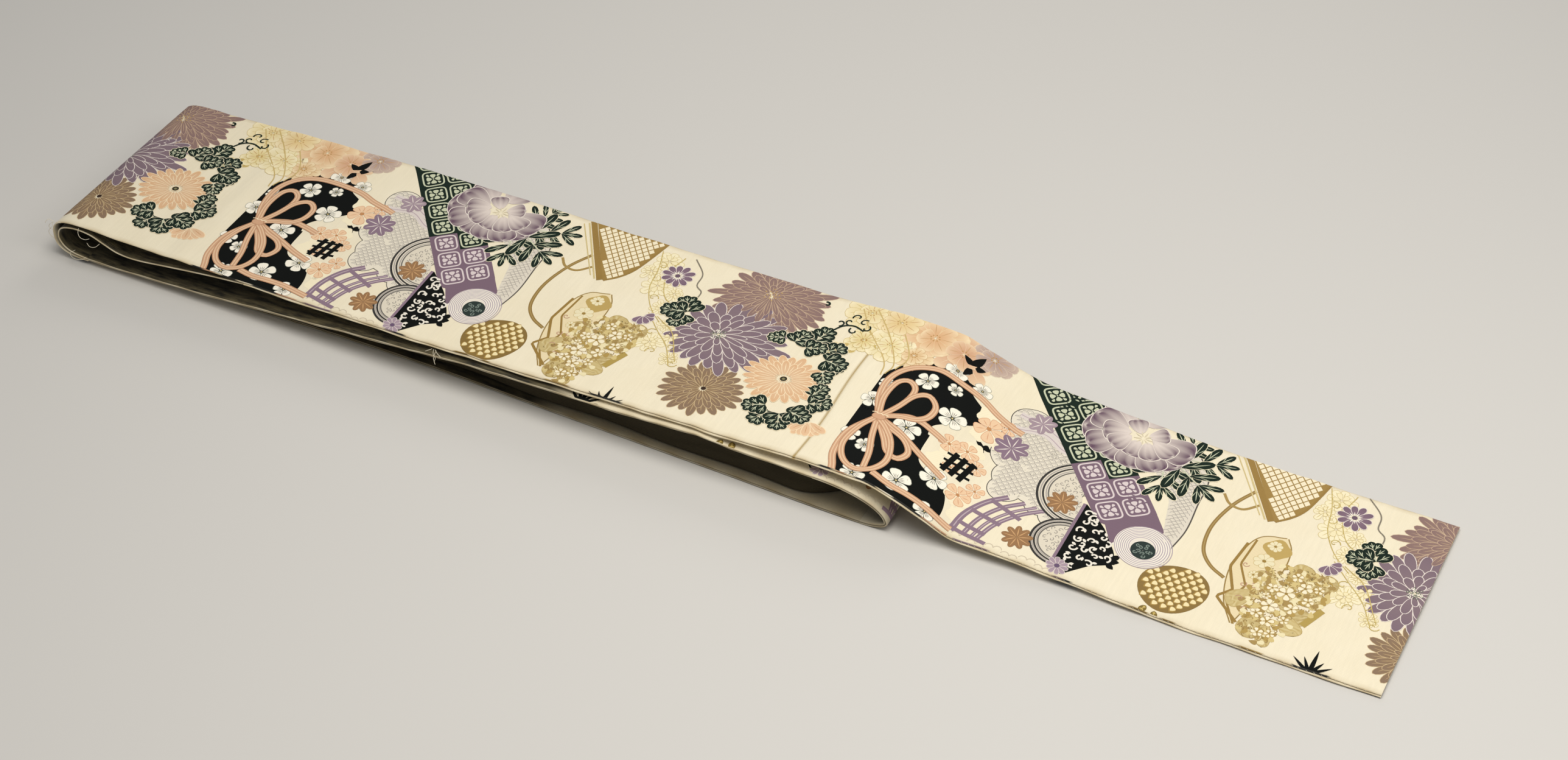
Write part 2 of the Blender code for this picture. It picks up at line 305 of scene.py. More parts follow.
class Stretch:
    """One stretch of one panel, as a surface of d along it and v across it.

    d holds the design's coordinate at stations along the path of its outward face, and near,
    far and side are that face's two edges there. face is 1 where the figured side is the
    outward face, and -1 where it is the other one, CLOTH further in."""

    def __init__(self, d, near, far, side, face=1, creases=NO_CREASES, belly=None, flare=0.0):
        self.d, self.near, self.far, self.side = d, near, far, side
        self.belly = near if belly is None else belly
        self.face, self.creases, self.flare = face, creases, flare
        self.start, self.stop = d[0], d[-1]

    def creased(self, d, v):
        """For each crease: t, from 0 to 1 along its line, how far a point is off that line, which
        wanders as a sine, and the crease's half width and height."""
        for d0, v0, d1, v1, half, height in self.creases * MM:
            way = np.array([d1 - d0, v1 - v0])
            size = np.hypot(*way)
            t = ((d - d0) * way[0] + (v - v0) * way[1]) / size ** 2
            off = ((v - v0) * way[0] - (d - d0) * way[1]) / size
            yield t, off + CREASE_BEND * np.sin(7 * t + d0 * 90), half, height

    def relief(self, d, v):
        """Height of the creases: each is a bell across its line, height * exp(-(u / half)**2)
        at u from the line, and fades over its last fifth at either end."""
        total = np.zeros(np.broadcast(d, v).shape)
        for t, off, half, height in self.creased(d, v):
            ends = np.clip(np.minimum(t, 1 - t) * 5 + 0.6, 0, 1)
            total += height * np.exp(-(off / half) ** 2) * ends ** 2 * (3 - 2 * ends)
        return total

    def crease_mark(self, d, v):
        """How far a pressed crease has yellowed the cloth: only those under 4 mm mark it, as a
        bell exp(-(u / 1.6 mm)**2)."""
        total = np.zeros(d.shape)
        for t, off, half, _ in self.creased(d, v):
            total += (half < 4 * MM) * np.exp(-(off / (1.6 * MM)) ** 2) * ((t > 0) & (t < 1))
        return total

    def slack(self, d, v):
        """Long shallow waves of limp cloth, highest at the two edges."""
        edge = np.abs(2 * v / WIDTH - 1) ** 3
        near = v < WIDTH / 2
        wave = np.where(near, np.sin(d * 41 + 1.0) + 0.6 * np.sin(d * 97 + 2.0),
                        np.sin(d * 35 + 0.4) + 0.6 * np.sin(d * 88 + 4.0))
        return 0.35 * MM * edge * wave + 0.12 * MM * np.sin(d * 60 + v * 22)

    def base(self, d, v):
        """The outward face: straight across from the near to the far path, with the belly's
        difference added as (1 - share)**BELLY_FADE and the creases square to the path."""
        share = (v / WIDTH)[..., None]
        at = [np.stack([np.interp(d, self.d, path[:, k]) for k in (0, 1)], -1)
              for path in (self.near, self.far, self.belly)]
        loose = np.clip(1 - share, 0, 1.02) ** BELLY_FADE
        xz = at[0] * (1 - share) + at[1] * share + (at[2] - at[0]) * loose
        up = self.relief(d, v) + self.slack(d, v) * (self.creases.size > 0)
        step = 1.5 * MM
        ahead, behind = [np.stack([np.interp(d + s, self.d, 0.5 * (self.near + self.far)[:, k])
                                   for k in (0, 1)], -1) for s in (step, -step)]
        way = ahead - behind
        way /= np.maximum(np.linalg.norm(way, axis=-1, keepdims=True), 1e-9)
        flare = self.flare * np.exp(-np.clip(v, 0, 1) / 0.012)
        y = np.interp(d, self.d, self.side) + v - flare * self.waver(d)
        return np.stack([xz[..., 0] - way[..., 1] * up, y, xz[..., 1] + way[..., 0] * up], -1)

    def waver(self, d):
        """How far a loose edge wanders, from 0.35 to 1, in waves of about 90 and 210 mm."""
        return 0.68 + 0.2 * np.sin(d * 70 + 0.7) + 0.12 * np.sin(d * 31 + 2.1)

    def normal(self, d, v):
        """Unit normal of the outward face, from differences over 1 mm each way."""
        e = 1.0 * MM
        low = np.clip(d - e, self.start, self.stop)
        high = np.clip(d + e, self.start, self.stop)
        along = self.base(high, v) - self.base(low, v)
        across = self.base(d, v + e) - self.base(d, v - e)
        n = np.cross(along, across)
        return n / np.linalg.norm(n, axis=-1, keepdims=True)

    def point(self, d, v, out, n=None):
        """The point that stands out from the outward face by out metres, in the row frame."""
        n = self.normal(d, v) if n is None else n
        return self.base(d, v) + n * out[..., None] + np.array([SHIFT_X, SHIFT_Y, 0])

    def bend(self, d, v):
        """Curvature of the outward face along the cloth and across it, per metre."""
        e = 2.0 * MM
        here = self.base(d, v)
        d1 = np.clip(d, self.start + e, self.stop - e)
        mid = self.base(d1, v)
        a = self.base(d1 + e, v) - 2 * mid + self.base(d1 - e, v)
        b = self.base(d, v + e) - 2 * here + self.base(d, v - e)
        return np.stack([np.linalg.norm(a, axis=-1), np.linalg.norm(b, axis=-1)], -1) / e ** 2


def run_stretch(table, start, stop, depth, face, creases, flare=0.0):
    """A stretch on a run's table, between two x, with its outward face at a depth under it."""
    xs = np.linspace(start, stop, int((stop - start) / MM))
    near, far = [moved_in(np.stack([xs, column(table, k, xs)], 1), depth) for k in (1, 2)]
    return Stretch(xs, near, far, column(table, 3, xs), face, creases, flare=flare)


def left_fold_paths(depth):
    """The left fold's near and far paths at a depth, from its foot up and round to the top."""
    paths = []
    for top in TOP_RUN[0, 1:3]:
        waist = (FOLD_START, LEFT_FOLD_WAIST)
        under = oval(waist, LEFT_FOLD_REACH, LEFT_FOLD_WAIST - LEFT_FOLD_FOOT,
                     270, 180, LEFT_FOLD_SQUARE)
        over = oval(waist, LEFT_FOLD_REACH, top - LEFT_FOLD_WAIST, 180, 90, LEFT_FOLD_SQUARE)
        whole = spaced(np.vstack([under[:-1], over]), 300)
        paths.append(moved_in(softly(whole), depth))
    return paths


def left_fold_front():
    """The front panel round the outside of the left fold. Its d ends where the top run's
    begins, so the design goes on over the fold."""
    near, far = left_fold_paths(0.0)
    along = 0.5 * (length_of(near) + length_of(far))
    return Stretch(FOLD_START - along[-1] + along, near, far, np.zeros(300), 1)


def left_fold_back():
    """The back panel inside the left fold and on, as a belly, under the top run's start."""
    depth = PLY + PLY_GAP
    xs = np.linspace(FOLD_START, BELLY, 240)
    tops = [moved_in(np.stack([xs, column(TOP_RUN, k, xs)], 1), depth) for k in (1, 2)]
    rows = 420
    near, far = [spaced(np.vstack([fold[:-1], top]), rows)
                 for fold, top in zip(left_fold_paths(depth), tops)]
    belly = spaced(through(np.vstack([near[:1], BELLY_LINE, near[-1:]]), 40), rows)
    along = length_of(0.5 * (near + far))
    side = column(TOP_RUN, 3, np.maximum(near[:, 0], FOLD_START))
    return Stretch(BELLY - along[-1] + along, near, far, side, -1, belly=belly)


def right_fold(depth, face):
    """The right fold, from the shoulder round the nose to the foot. d goes on from the middle
    run's."""
    outside = []
    for top in MIDDLE_RUN[-1, 1:3]:
        over = oval((RIGHT_TOP, RIGHT_FOLD_WAIST), RIGHT_FOLD_NOSE - RIGHT_TOP,
                    top - RIGHT_FOLD_WAIST, 90, 0)
        under = oval((RIGHT_FOOT, RIGHT_FOLD_WAIST), RIGHT_FOLD_NOSE - RIGHT_FOOT,
                     RIGHT_FOLD_WAIST, 0, -90)
        outside.append(moved_in(softly(spaced(np.vstack([over[:-1], under]), 300)), depth))
    along = length_of(0.5 * (outside[0] + outside[1]))
    return Stretch(RIGHT_TOP + along, outside[0], outside[1],
                   np.full(300, MIDDLE_RUN[-1, 3]), face)


def bottom_stretch(height, face, start):
    """The bottom run at a height, from the right fold's foot back along the floor. d starts at
    start and grows towards the left."""
    xs = np.linspace(RIGHT_FOOT, BOTTOM_END, int((RIGHT_FOOT - BOTTOM_END) / MM))
    path = np.stack([xs, np.full(len(xs), height)], 1)
    return Stretch(start + RIGHT_FOOT - xs, path, path, column(BOTTOM_RUN, 1, xs), face)


# ------------------------------
# Colours, nodes and materials.
# ------------------------------
GROUND = "#EEE2C3"       # the darker of the ground's two creams


def linear(code):
    """An sRGB hex colour as linear red, green and blue."""
    srgb = np.array([int(code[i:i + 2], 16) for i in (1, 3, 5)]) / 255
    return np.where(srgb <= 0.04045, srgb / 12.92, ((srgb + 0.055) / 1.055) ** 2.4)


def add_node(tree, kind, settings=(), links=(), **values):
    """Adds a node. settings are its properties, values its sockets by name, and links the
    output that feeds each socket."""
    node = tree.nodes.new(kind)
    for name, value in dict(settings).items():
        setattr(node, name, value)
    for name, value in values.items():
        node.inputs[name.replace("_", " ")].default_value = value
    for socket, output in dict(links).items():
        tree.links.new(output, node.inputs[socket])
    return node


def new_material(name):
    """A node material that holds only its shader and output."""
    material = bpy.data.materials.new(name)
    material.use_nodes = True
    tree = material.node_tree
    return material, tree, tree.nodes["Principled BSDF"]


def finish(tree, shader, colour, bump, **values):
    """Joins a colour and a bump to the shader, and sets its other sockets by name."""
    tree.links.new(colour, shader.inputs["Base Color"])
    tree.links.new(bump.outputs["Normal"], shader.inputs["Normal"])
    for name, value in values.items():
        shader.inputs[name.replace("_", " ")].default_value = value


def attribute(tree, name):
    """A node that reads one of the mesh's own attributes."""
    return add_node(tree, "ShaderNodeAttribute", {"attribute_name": name})


def opaque(code, shade=1.0):
    """A hex colour, shaded, for a socket that wants red, green, blue and alpha."""
    return (*np.minimum(linear(code) * shade, 1), 1)


def rib_bump(tree, rib, turn, height, before=None):
    """Bump of woven ribs: bands of the cloth's own UV, rib metres apart, turned by turn."""
    uv = add_node(tree, "ShaderNodeUVMap", {"uv_map": "cloth"})
    turned = add_node(tree, "ShaderNodeMapping", (), {"Vector": uv.outputs["UV"]},
                      Rotation=(0, 0, turn))
    wave = add_node(tree, "ShaderNodeTexWave", {"bands_direction": "X"},
                    {"Vector": turned.outputs["Vector"]},
                    Scale=1 / (rib * 3.18), Distortion=0.6, Detail=1.0, Detail_Scale=2.0)
    links = {"Height": wave.outputs["Fac"]}
    if before is not None:
        links["Normal"] = before.outputs["Normal"]
    return add_node(tree, "ShaderNodeBump", (), links, Strength=height, Distance=0.0004), wave


def ground_material():
    """Cream silk satin, woven. A close weft-faced satin has a soft broad sheen across its fine
    ribs, and old silk has yellowed a little where it was folded and along its edges. Its inner
    side shows the loose floats of the figures' threads, and their dark colour is also painted as
    shade over stretches in shadow, which a multiplied colour darkens further as painted shade.
    The ribs are drawn 1.6 mm apart, as the real 0.4 mm would not show."""
    material, tree, shader = new_material("cream_silk_satin_woven")
    uv = add_node(tree, "ShaderNodeUVMap", {"uv_map": "cloth"})

    def noise(scale, **values):
        """Noise over the cloth's own UV, at so many waves a metre along and across."""
        place = add_node(tree, "ShaderNodeMapping", (), {"Vector": uv.outputs["UV"]},
                         Scale=(*scale, 1.0))
        return add_node(tree, "ShaderNodeTexNoise", (), {"Vector": place.outputs["Vector"]},
                        **values).outputs["Fac"]

    def mixed(links, settings=(), **values):
        """The result of a colour mix."""
        return add_node(tree, "ShaderNodeMix", {"data_type": "RGBA", **dict(settings)}, links,
                        **values).outputs["Result"]

    cloudy = add_node(tree, "ShaderNodeTexNoise", (), {"Vector": uv.outputs["UV"]},
                      Scale=14.0, Detail=4.0, Roughness=0.6)
    cream = mixed({"Factor": cloudy.outputs["Fac"]}, A=opaque("#F6EDD4"), B=opaque(GROUND))
    slubs = noise((260.0, 18.0), Scale=1.0, Detail=3.0, Roughness=0.7)
    thread = add_node(tree, "ShaderNodeMapRange", (), {"Value": slubs}, To_Min=0.92, To_Max=1.06)
    threaded = add_node(tree, "ShaderNodeVectorMath", {"operation": "SCALE"},
                        {"Vector": cream, "Scale": thread.outputs["Result"]})
    # Yellowing at the edges and creases, and, where worn is set, a painted shade that yellows and
    # darkens the cloth.
    old = mixed({"Factor": attribute(tree, "soil").outputs["Fac"],
                 "A": threaded.outputs["Vector"]}, B=opaque("#A98F58"))
    # The dark back of the weave, also used as painted shade over stretches that lie in shadow.
    floats = noise((30.0, 170.0), Scale=1.0, Detail=4.0, Roughness=0.65)
    float_colour = add_node(tree, "ShaderNodeValToRGB", (), {"Fac": floats})
    for stop, place, code in zip(float_colour.color_ramp.elements, (0.36, 0.66),
                                 ("#1A1812", "#6C6246")):
        stop.position, stop.color = place, opaque(code)
    side = mixed({"Factor": attribute(tree, "inner").outputs["Fac"], "A": old,
                  "B": float_colour.outputs["Color"]})
    # Multiplied by painted shade, and by the colour of the figures at the near edge.
    painted = mixed({"A": side, "B": attribute(tree, "tint").outputs["Color"]},
                    {"blend_type": "MULTIPLY"}, Factor=1.0)
    weft = rib_bump(tree, 1.6 * MM, 0.0, 0.22)[0]
    warp = rib_bump(tree, 2.4 * MM, np.pi / 2, 0.14, weft)[0]
    finish(tree, shader, painted, warp, Roughness=0.56, Sheen_Weight=0.25, Sheen_Roughness=0.4,
           IOR=1.5, Specular_IOR_Level=0.35)
    return material


def figure_material(name, rib, turn, metallic, roughness, specular, strength):
    """A brocaded figure, in extra wefts that float on the ground. The colour is the figure's
    own attribute, with a painted highlight along each rib of thread and painted shade between."""
    material, tree, shader = new_material(name)
    bump, wave = rib_bump(tree, rib, turn, strength)
    # Painted highlight and shade: the colour is a little lighter on the top of each rib and darker
    # between.
    rib_highlight_and_shade = add_node(tree, "ShaderNodeMapRange", (), {"Value": wave.outputs["Fac"]},
                     To_Min=0.91, To_Max=1.06)
    lit = add_node(tree, "ShaderNodeVectorMath", {"operation": "SCALE"},
                   {"Vector": attribute(tree, "figure").outputs["Color"],
                    "Scale": rib_highlight_and_shade.outputs["Result"]})
    finish(tree, shader, lit.outputs["Vector"], bump, Metallic=metallic, Roughness=roughness,
           Specular_IOR_Level=specular)
    return material


def cotton_material(name, code):
    """Dull cotton, spun and woven or twisted: no sheen, with a fine uneven nap."""
    material, tree, shader = new_material(name)
    place = add_node(tree, "ShaderNodeTexCoord")
    nap = add_node(tree, "ShaderNodeTexNoise", (), {"Vector": place.outputs["Object"]},
                   Scale=420.0, Detail=3.0)
    tone = add_node(tree, "ShaderNodeMix", {"data_type": "RGBA"}, {"Factor": nap.outputs["Fac"]},
                    A=opaque(code, 0.75), B=opaque(code, 1.15))
    bump = add_node(tree, "ShaderNodeBump", (), {"Height": nap.outputs["Fac"]},
                    Strength=0.5, Distance=0.0004)
    finish(tree, shader, tone.outputs["Result"], bump, Roughness=0.85, Specular_IOR_Level=0.2)
    return material


def floor_material():
    """Matt painted board, plain and pale."""
    material, _, shader = new_material("matt_pale_floor")
    shader.inputs["Base Color"].default_value = opaque("#CFCCC6")
    shader.inputs["Roughness"].default_value = 0.9
    return material


# ------------------------------
# Meshes.
# ------------------------------
def put(name, data):
    """A new object in the scene, at the origin."""
    made = bpy.data.objects.new(name, data)
    bpy.context.scene.collection.objects.link(made)
    return made


def add_mesh(name, points, faces, material, attributes=(), maps=(), normals=None, sharp=None):
    """One object from arrays. attributes are (name, kind, values a vertex), and maps are
    (name, uv for each vertex or each face corner)."""
    mesh = bpy.data.meshes.new(name)
    mesh.vertices.add(len(points))
    mesh.vertices.foreach_set("co", points.astype(np.float32).ravel())
    corners = faces.shape[1]
    mesh.loops.add(faces.size)
    mesh.loops.foreach_set("vertex_index", faces.astype(np.int32).ravel())
    mesh.polygons.add(len(faces))
    mesh.polygons.foreach_set("loop_start", np.arange(0, faces.size, corners, dtype=np.int32))
    mesh.update(calc_edges=True)
    mesh.polygons.foreach_set("use_smooth", np.ones(len(faces), bool))
    for label, kind, values in attributes:
        field = "value"
        if kind == "FLOAT_COLOR":
            field, values = "color", np.hstack([values, np.ones((len(values), 1))])
        made = mesh.attributes.new(label, kind, "POINT")
        made.data.foreach_set(field, values.astype(np.float32).ravel())
    for label, uv in maps:
        uv = uv[faces.ravel()] if len(uv) == len(points) else uv
        mesh.uv_layers.new(name=label).data.foreach_set("uv", uv.astype(np.float32).ravel())
    if sharp is not None:
        ends = np.zeros(len(mesh.edges) * 2, np.int32)
        mesh.edges.foreach_get("vertices", ends)
        hard = sharp[ends.reshape(-1, 2)].all(axis=1)
        mesh.attributes.new("sharp_edge", "BOOLEAN", "EDGE").data.foreach_set("value", hard)
    if normals is not None:
        mesh.normals_split_custom_set_from_vertices(normals.astype(np.float32))
    mesh.materials.append(material)
    made = put(name, mesh)
    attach(made, "root")
    return made


BAKE_ROW = 0.60          # length of cloth to a row of the bake's map
BAKE_MARGIN = 0.010


def bake_rows(d, v, row, start, rows):
    """The bake's map: the cloth cut into rows laid one over the next, in a square."""
    size = max(BAKE_ROW + 2 * BAKE_MARGIN, rows * (WIDTH + 2 * BAKE_MARGIN))
    along = d - start - row * BAKE_ROW + BAKE_MARGIN
    across = v + BAKE_MARGIN + row * (WIDTH + 2 * BAKE_MARGIN)
    return np.stack([along, across], -1) / size


def stations_along(stretch, widest):
    """Stations in d, close where the cloth bends: a step's facet leaves the curve by less than
    0.03 mm, and no step is over widest."""
    fine = np.arange(stretch.start, stretch.stop, 1.0 * MM)
    across = np.linspace(0, WIDTH, 9)
    d, v = np.meshgrid(fine, across, indexing="ij")
    bend = stretch.bend(d, v)[..., 0].max(axis=1)
    step = np.clip(np.sqrt(8 * 0.03 * MM / np.maximum(bend, 1e-3)), 1.2 * MM, widest)
    step = np.minimum.reduce([np.roll(step, k) for k in range(-3, 4)])
    count = np.concatenate([[0], np.cumsum(1.0 * MM / step)])
    total = int(np.ceil(count[-1]))
    return np.interp(np.linspace(0, count[-1], total + 1),
                     count, np.concatenate([fine, [stretch.stop]]))


def shell(name, stretch, material, widest=6 * MM, columns=48, marks=(), floats=(9, 9),
          rim=0.0, worn=0.0, shade=(1, 1)):
    """A stretch's cloth as a closed shell: a ring round its section at each station. The ring
    goes along the outward face, round one edge as a half circle, back along the inner face and
    round the other edge. marks colour the near edge where a figure comes to it. Between two d
    in floats both faces are painted dark as shade, in the colour of the weave's back, but for a
    pale rim at the near edge. Elsewhere the figured face is all ground, and the other one only
    where it is turned in. worn yellows the whole stretch and so darkens it, as painted shade, and
    shade is how much of its colour painted shade leaves, at its start and at its end."""
    d = stations_along(stretch, widest)
    radius = CLOTH / 2
    turn = np.linspace(0, np.pi, 7)[1:-1]
    flat = np.linspace(radius, WIDTH - radius, columns + 1)
    v = np.concatenate([flat, WIDTH - radius + (radius + NOSE) * np.sin(turn), flat[::-1],
                        radius - (radius + NOSE) * np.sin(turn)])
    depth = np.concatenate([np.zeros(columns + 1), radius * (1 - np.cos(turn)),
                            np.full(columns + 1, CLOTH), radius * (1 + np.cos(turn))])
    ring = len(v)
    d_grid, v_grid = np.meshgrid(d, v, indexing="ij")
    inside_v = np.clip(v_grid, 0, WIDTH)
    points = stretch.point(d_grid, inside_v, -depth[None, :] + 0 * d_grid)
    points[..., 1] += v_grid - inside_v
    points = points.reshape(-1, 3)
    faces = closed_rings(len(d), ring)
    showing = (depth < CLOTH * 0.75) if stretch.face > 0 else (depth > CLOTH * 0.25)
    # Painted shade: between the two d in floats both faces take the dark colour of the weave's
    # back, fading in and out, but for a pale rim at the near edge.
    loose = np.clip(np.minimum(d_grid - floats[0], floats[1] - d_grid) / PAINTED_SHADE_FADE, 0, 1)
    loose *= v >= rim
    margin = np.minimum(v, WIDTH - v)
    deep = np.clip((margin - TURNED_IN) / (4 * MM), 0, 1)
    # inner is the real dark back of the weave on the inner face, and painted shade on either face
    # within the floats span.
    inner = np.where(showing, loose, np.maximum(deep, loose))
    edge = np.clip(1 - margin / YELLOWED, 0, 1)
    # Yellowing of the edges and of pressed creases; worn adds a yellowing all along that darkens
    # the stretch as painted shade.
    soil = 0.10 + worn + 0.55 * edge[None, :] ** 2 * (0.7 + 0.3 * np.sin(d_grid * 130))
    soil = soil + 0.90 * stretch.crease_mark(d_grid, inside_v)
    # Painted shade: the colour is multiplied down, from shade at the stretch's start to shade at
    # its end.
    tint = np.repeat(np.interp(d_grid, d[[0, -1]], shade)[..., None], 3, axis=2)
    phase = (d_grid / MM) % (REPEAT / MM)
    for start, stop, code in marks:
        near = (phase > start) & (phase < stop) & (v_grid < radius)
        tint[near] = linear(code) / linear(GROUND)
    rows = int(np.ceil((d[-1] - d[0]) / BAKE_ROW))
    row = np.clip(np.floor((d[faces[:, 0] // ring] - d[0]) / BAKE_ROW), 0, rows - 1)
    girth = np.concatenate([[0], np.cumsum(np.hypot(np.diff(v), np.diff(depth)))])
    whole = girth[-1] + CLOTH * 0.3
    corner_d = d[faces // ring]
    at = faces % ring
    corner_g = girth[at] + whole * ((at == 0) & (at[:, 1:3].max(axis=1) > 2)[:, None]
                                    & (at.max(axis=1) == ring - 1)[:, None])
    size = max(BAKE_ROW + 2 * BAKE_MARGIN, rows * (whole + BAKE_MARGIN) + CLOTH * 2)
    bake = np.stack([(corner_d - d[0] - row[:, None] * BAKE_ROW + BAKE_MARGIN) / size,
                     (corner_g + row[:, None] * (whole + BAKE_MARGIN)) / size], -1)
    cap = ring // 2 - 1
    bake[-2 * cap:, :, 0] = (size - CLOTH * 2 + depth[faces[-2 * cap:] % ring]) / size
    bake[-2 * cap:, :, 1] = (v[faces[-2 * cap:] % ring] + NOSE) / size * 0.45
    bake[-cap:, :, 1] += 0.5
    ends = np.zeros(len(points), bool)
    ends[:ring] = ends[-ring:] = True
    cloth_uv = np.stack([d_grid.ravel(), v_grid.ravel()], -1)
    return add_mesh(name, points, faces, material,
                    [("inner", "FLOAT", inner.ravel()),
                     ("soil", "FLOAT", np.clip(soil, 0, 1).ravel()),
                     ("tint", "FLOAT_COLOR", tint.reshape(-1, 3))],
                    [("cloth", cloth_uv), ("OFBake", bake.reshape(-1, 2))], sharp=ends)


def tube(path, radius, sides=6):
    """A closed round thread along a path, as points and faces: a ring at each point, square to
    the path, each end drawn in to a small tip."""
    way = np.gradient(path, axis=0)
    way /= np.linalg.norm(way, axis=1)[:, None]
    level = np.cross(way, np.array([0.13, 0.21, 0.97]))
    level /= np.linalg.norm(level, axis=1)[:, None]
    up = np.cross(level, way)
    turn = np.linspace(0, 2 * np.pi, sides, endpoint=False)
    size = np.full(len(path), radius)
    size[[0, -1]] *= 0.35
    ring = (np.cos(turn)[None, :, None] * level[:, None] + np.sin(turn)[None, :, None]
            * up[:, None]) * size[:, None, None]
    points = (path[:, None] + ring).reshape(-1, 3)
    return points, closed_rings(len(path), sides)


def sewn(name, tubes, material):
    """Several tubes of thread as one piece."""
    points, faces = zip(*tubes)
    starts = np.cumsum([0] + [len(each) for each in points[:-1]])
    made = add_mesh(name, np.vstack(points),
                    np.vstack([sides + start for sides, start in zip(faces, starts)]), material)


# ------------------------------
# Drawing tools for the figured design: everything is a grid of points, in millimetres.
# ------------------------------
RNG = np.random.default_rng(11)

# The silks and gilt threads.
CREAM = "#F3E7C6"
WHITE = "#F7F0DE"
PEACH = "#DDBB96"
PALE_PEACH = "#F3DDB8"
ROSE_TAN = "#D0A482"
DEEP_ROSE = "#B28564"
MAUVE_BROWN = "#93796E"
MAUVE_EDGE = "#C9AE92"
PURPLE = "#867378"
PURPLE_EDGE = "#E4D9CF"
LILAC = "#B3A0A6"
TAN = "#8E7558"
TAN_EDGE = "#CDB48A"
BLACK = "#0D0F0D"
DARK_GREEN = "#1B2820"
LEAF_PALE = "#C6CAAC"
MAPLE = "#997450"
GREY_LINE = "#A79F98"
DARK_LINE = "#3A3836"
GOLD = "#9A7E42"
PALE_GOLD = "#D3BF86"

ROUND = dict(rise=0.75, fall=4.0, blunt=0.5)
POINTED = dict(rise=0.8, fall=1.0, blunt=1.0)
WILLOW = dict(rise=0.6, fall=1.6, blunt=0.8)
BLADE = dict(rise=0.35, fall=1.0, blunt=0.9)
STRAP = dict(rise=0.45, fall=4.5, blunt=0.60)


def curve(points, step=3.5):
    """A smooth line through the rows of points, at even steps."""
    fine = through(points)
    return spaced(fine, max(4, int(length_of(fine)[-1] / step) + 1))


def outline(points, step=5.0):
    """Straight lines between the rows of points, at even steps."""
    points = np.asarray(points, float)
    return spaced(points, max(2, int(length_of(points)[-1] / step) + 1))


def ribbon(path, half, columns=2):
    """A line with width: points spread square to the path, from half one side to half the
    other."""
    way = np.gradient(path, axis=-2)
    way /= np.maximum(np.linalg.norm(way, axis=-1, keepdims=True), 1e-9)
    square = np.stack([-way[..., 1], way[..., 0]], -1)
    half = np.broadcast_to(half, path.shape[:-1])[..., None, None]
    across = np.linspace(-1, 1, columns + 1)[:, None]
    return path[..., None, :] + half * across * square[..., None, :]


def between(a, b, columns):
    """Straight across from each point of line a to the same point of line b."""
    count = max(len(a), len(b))
    a, b = spaced(a, count), spaced(b, count)
    t = np.linspace(0, 1, columns + 1)[:, None]
    return a[:, None] * (1 - t) + b[:, None] * t


def disc(centre, radius, rings=3, sides=28):
    """Rings about a centre. radius is a number or a function of the angle in radians."""
    angle = np.linspace(0, 2 * np.pi, sides + 1)
    reach = radius(angle) if callable(radius) else np.full(sides + 1, float(radius))
    t = np.concatenate([[0.02], np.linspace(1 / rings, 1, rings)])
    rim = np.stack([np.cos(angle), np.sin(angle)], -1) * reach[:, None]
    return np.asarray(centre, float) + rim[:, None] * t[None, :, None]


def loop(centre, radius, sides=36):
    """The closed line of a circle or of a radius that is a function of the angle."""
    return disc(centre, radius, 1, sides)[:, -1]


def petals(base, angle, length, width, shape=ROUND, notch=0.0, rows=7, columns=2, ruffle=0.0,
           bow=0.0):
    """Petals from each base, pointing at angle in degrees. At t along it a petal's half width
    is width * t**rise * (1 - t**fall)**blunt, scaled to reach width. A notch pulls the middle
    of its tip back, a ruffle waves the tip in and out, and a bow curves it to one side."""
    base = np.asarray(base, float).reshape(-1, 2)
    angle = np.radians(np.broadcast_to(angle, len(base)))[:, None, None]
    length = np.broadcast_to(length, len(base))[:, None, None]
    width = np.broadcast_to(width, len(base))[:, None, None]
    t = 1 - (1 - np.linspace(0, 1, rows + 1)) ** 1.5
    profile = t ** shape["rise"] * (1 - t ** shape["fall"]) ** shape["blunt"]
    profile = (profile / profile.max())[None, :, None]
    a = np.linspace(-1, 1, columns + 1)[None, None, :]
    t = t[None, :, None]
    along = length * (t - notch * (1 - np.abs(a)) * t ** 6 + ruffle * np.cos(10 * a) * t ** 4)
    across = width * profile * a + bow * length * t ** 2
    x = base[:, 0, None, None] + along * np.cos(angle) - across * np.sin(angle)
    y = base[:, 1, None, None] + along * np.sin(angle) + across * np.cos(angle)
    return np.stack([x, y], -1)


def polar(centre, reach, angle):
    """Points at a reach and an angle in degrees from a centre."""
    a = np.radians(angle)
    return np.asarray(centre, float) + np.stack([reach * np.cos(a), reach * np.sin(a)], -1)


def arcs(centres, radius, start, stop, points=6):
    """Lines of an arc about each centre, between two angles in degrees."""
    a = np.radians(np.linspace(start, stop, points))
    arc = radius * np.stack([np.cos(a), np.sin(a)], -1)
    return np.asarray(centres, float)[:, None] + arc[None]


def curls(centres, radius, phase, sense=1, turns=1.15, points=12):
    """Spiral lines: from each centre out to radius, over so many turns."""
    centres = np.asarray(centres, float).reshape(-1, 2)
    t = np.linspace(0.12, 1, points)[None]
    radius = np.broadcast_to(radius, len(centres))[:, None]
    phase = np.broadcast_to(phase, len(centres))[:, None]
    sense = np.broadcast_to(sense, len(centres))[:, None]
    a = np.radians(phase) + sense * 2 * np.pi * turns * t
    return centres[:, None] + radius[..., None] * t[..., None] * np.stack(
        [np.cos(a), np.sin(a)], -1)


def by_turns(count):
    """-1 and 1 by turns."""
    return np.where(np.arange(count) % 2, 1, -1)


def shaded(base, tip, t):
    """From the base colour to the tip colour as t goes from 0 to 1."""
    t = np.clip(t, 0, 1)[..., None]
    return linear(base) * (1 - t) + linear(tip) * t


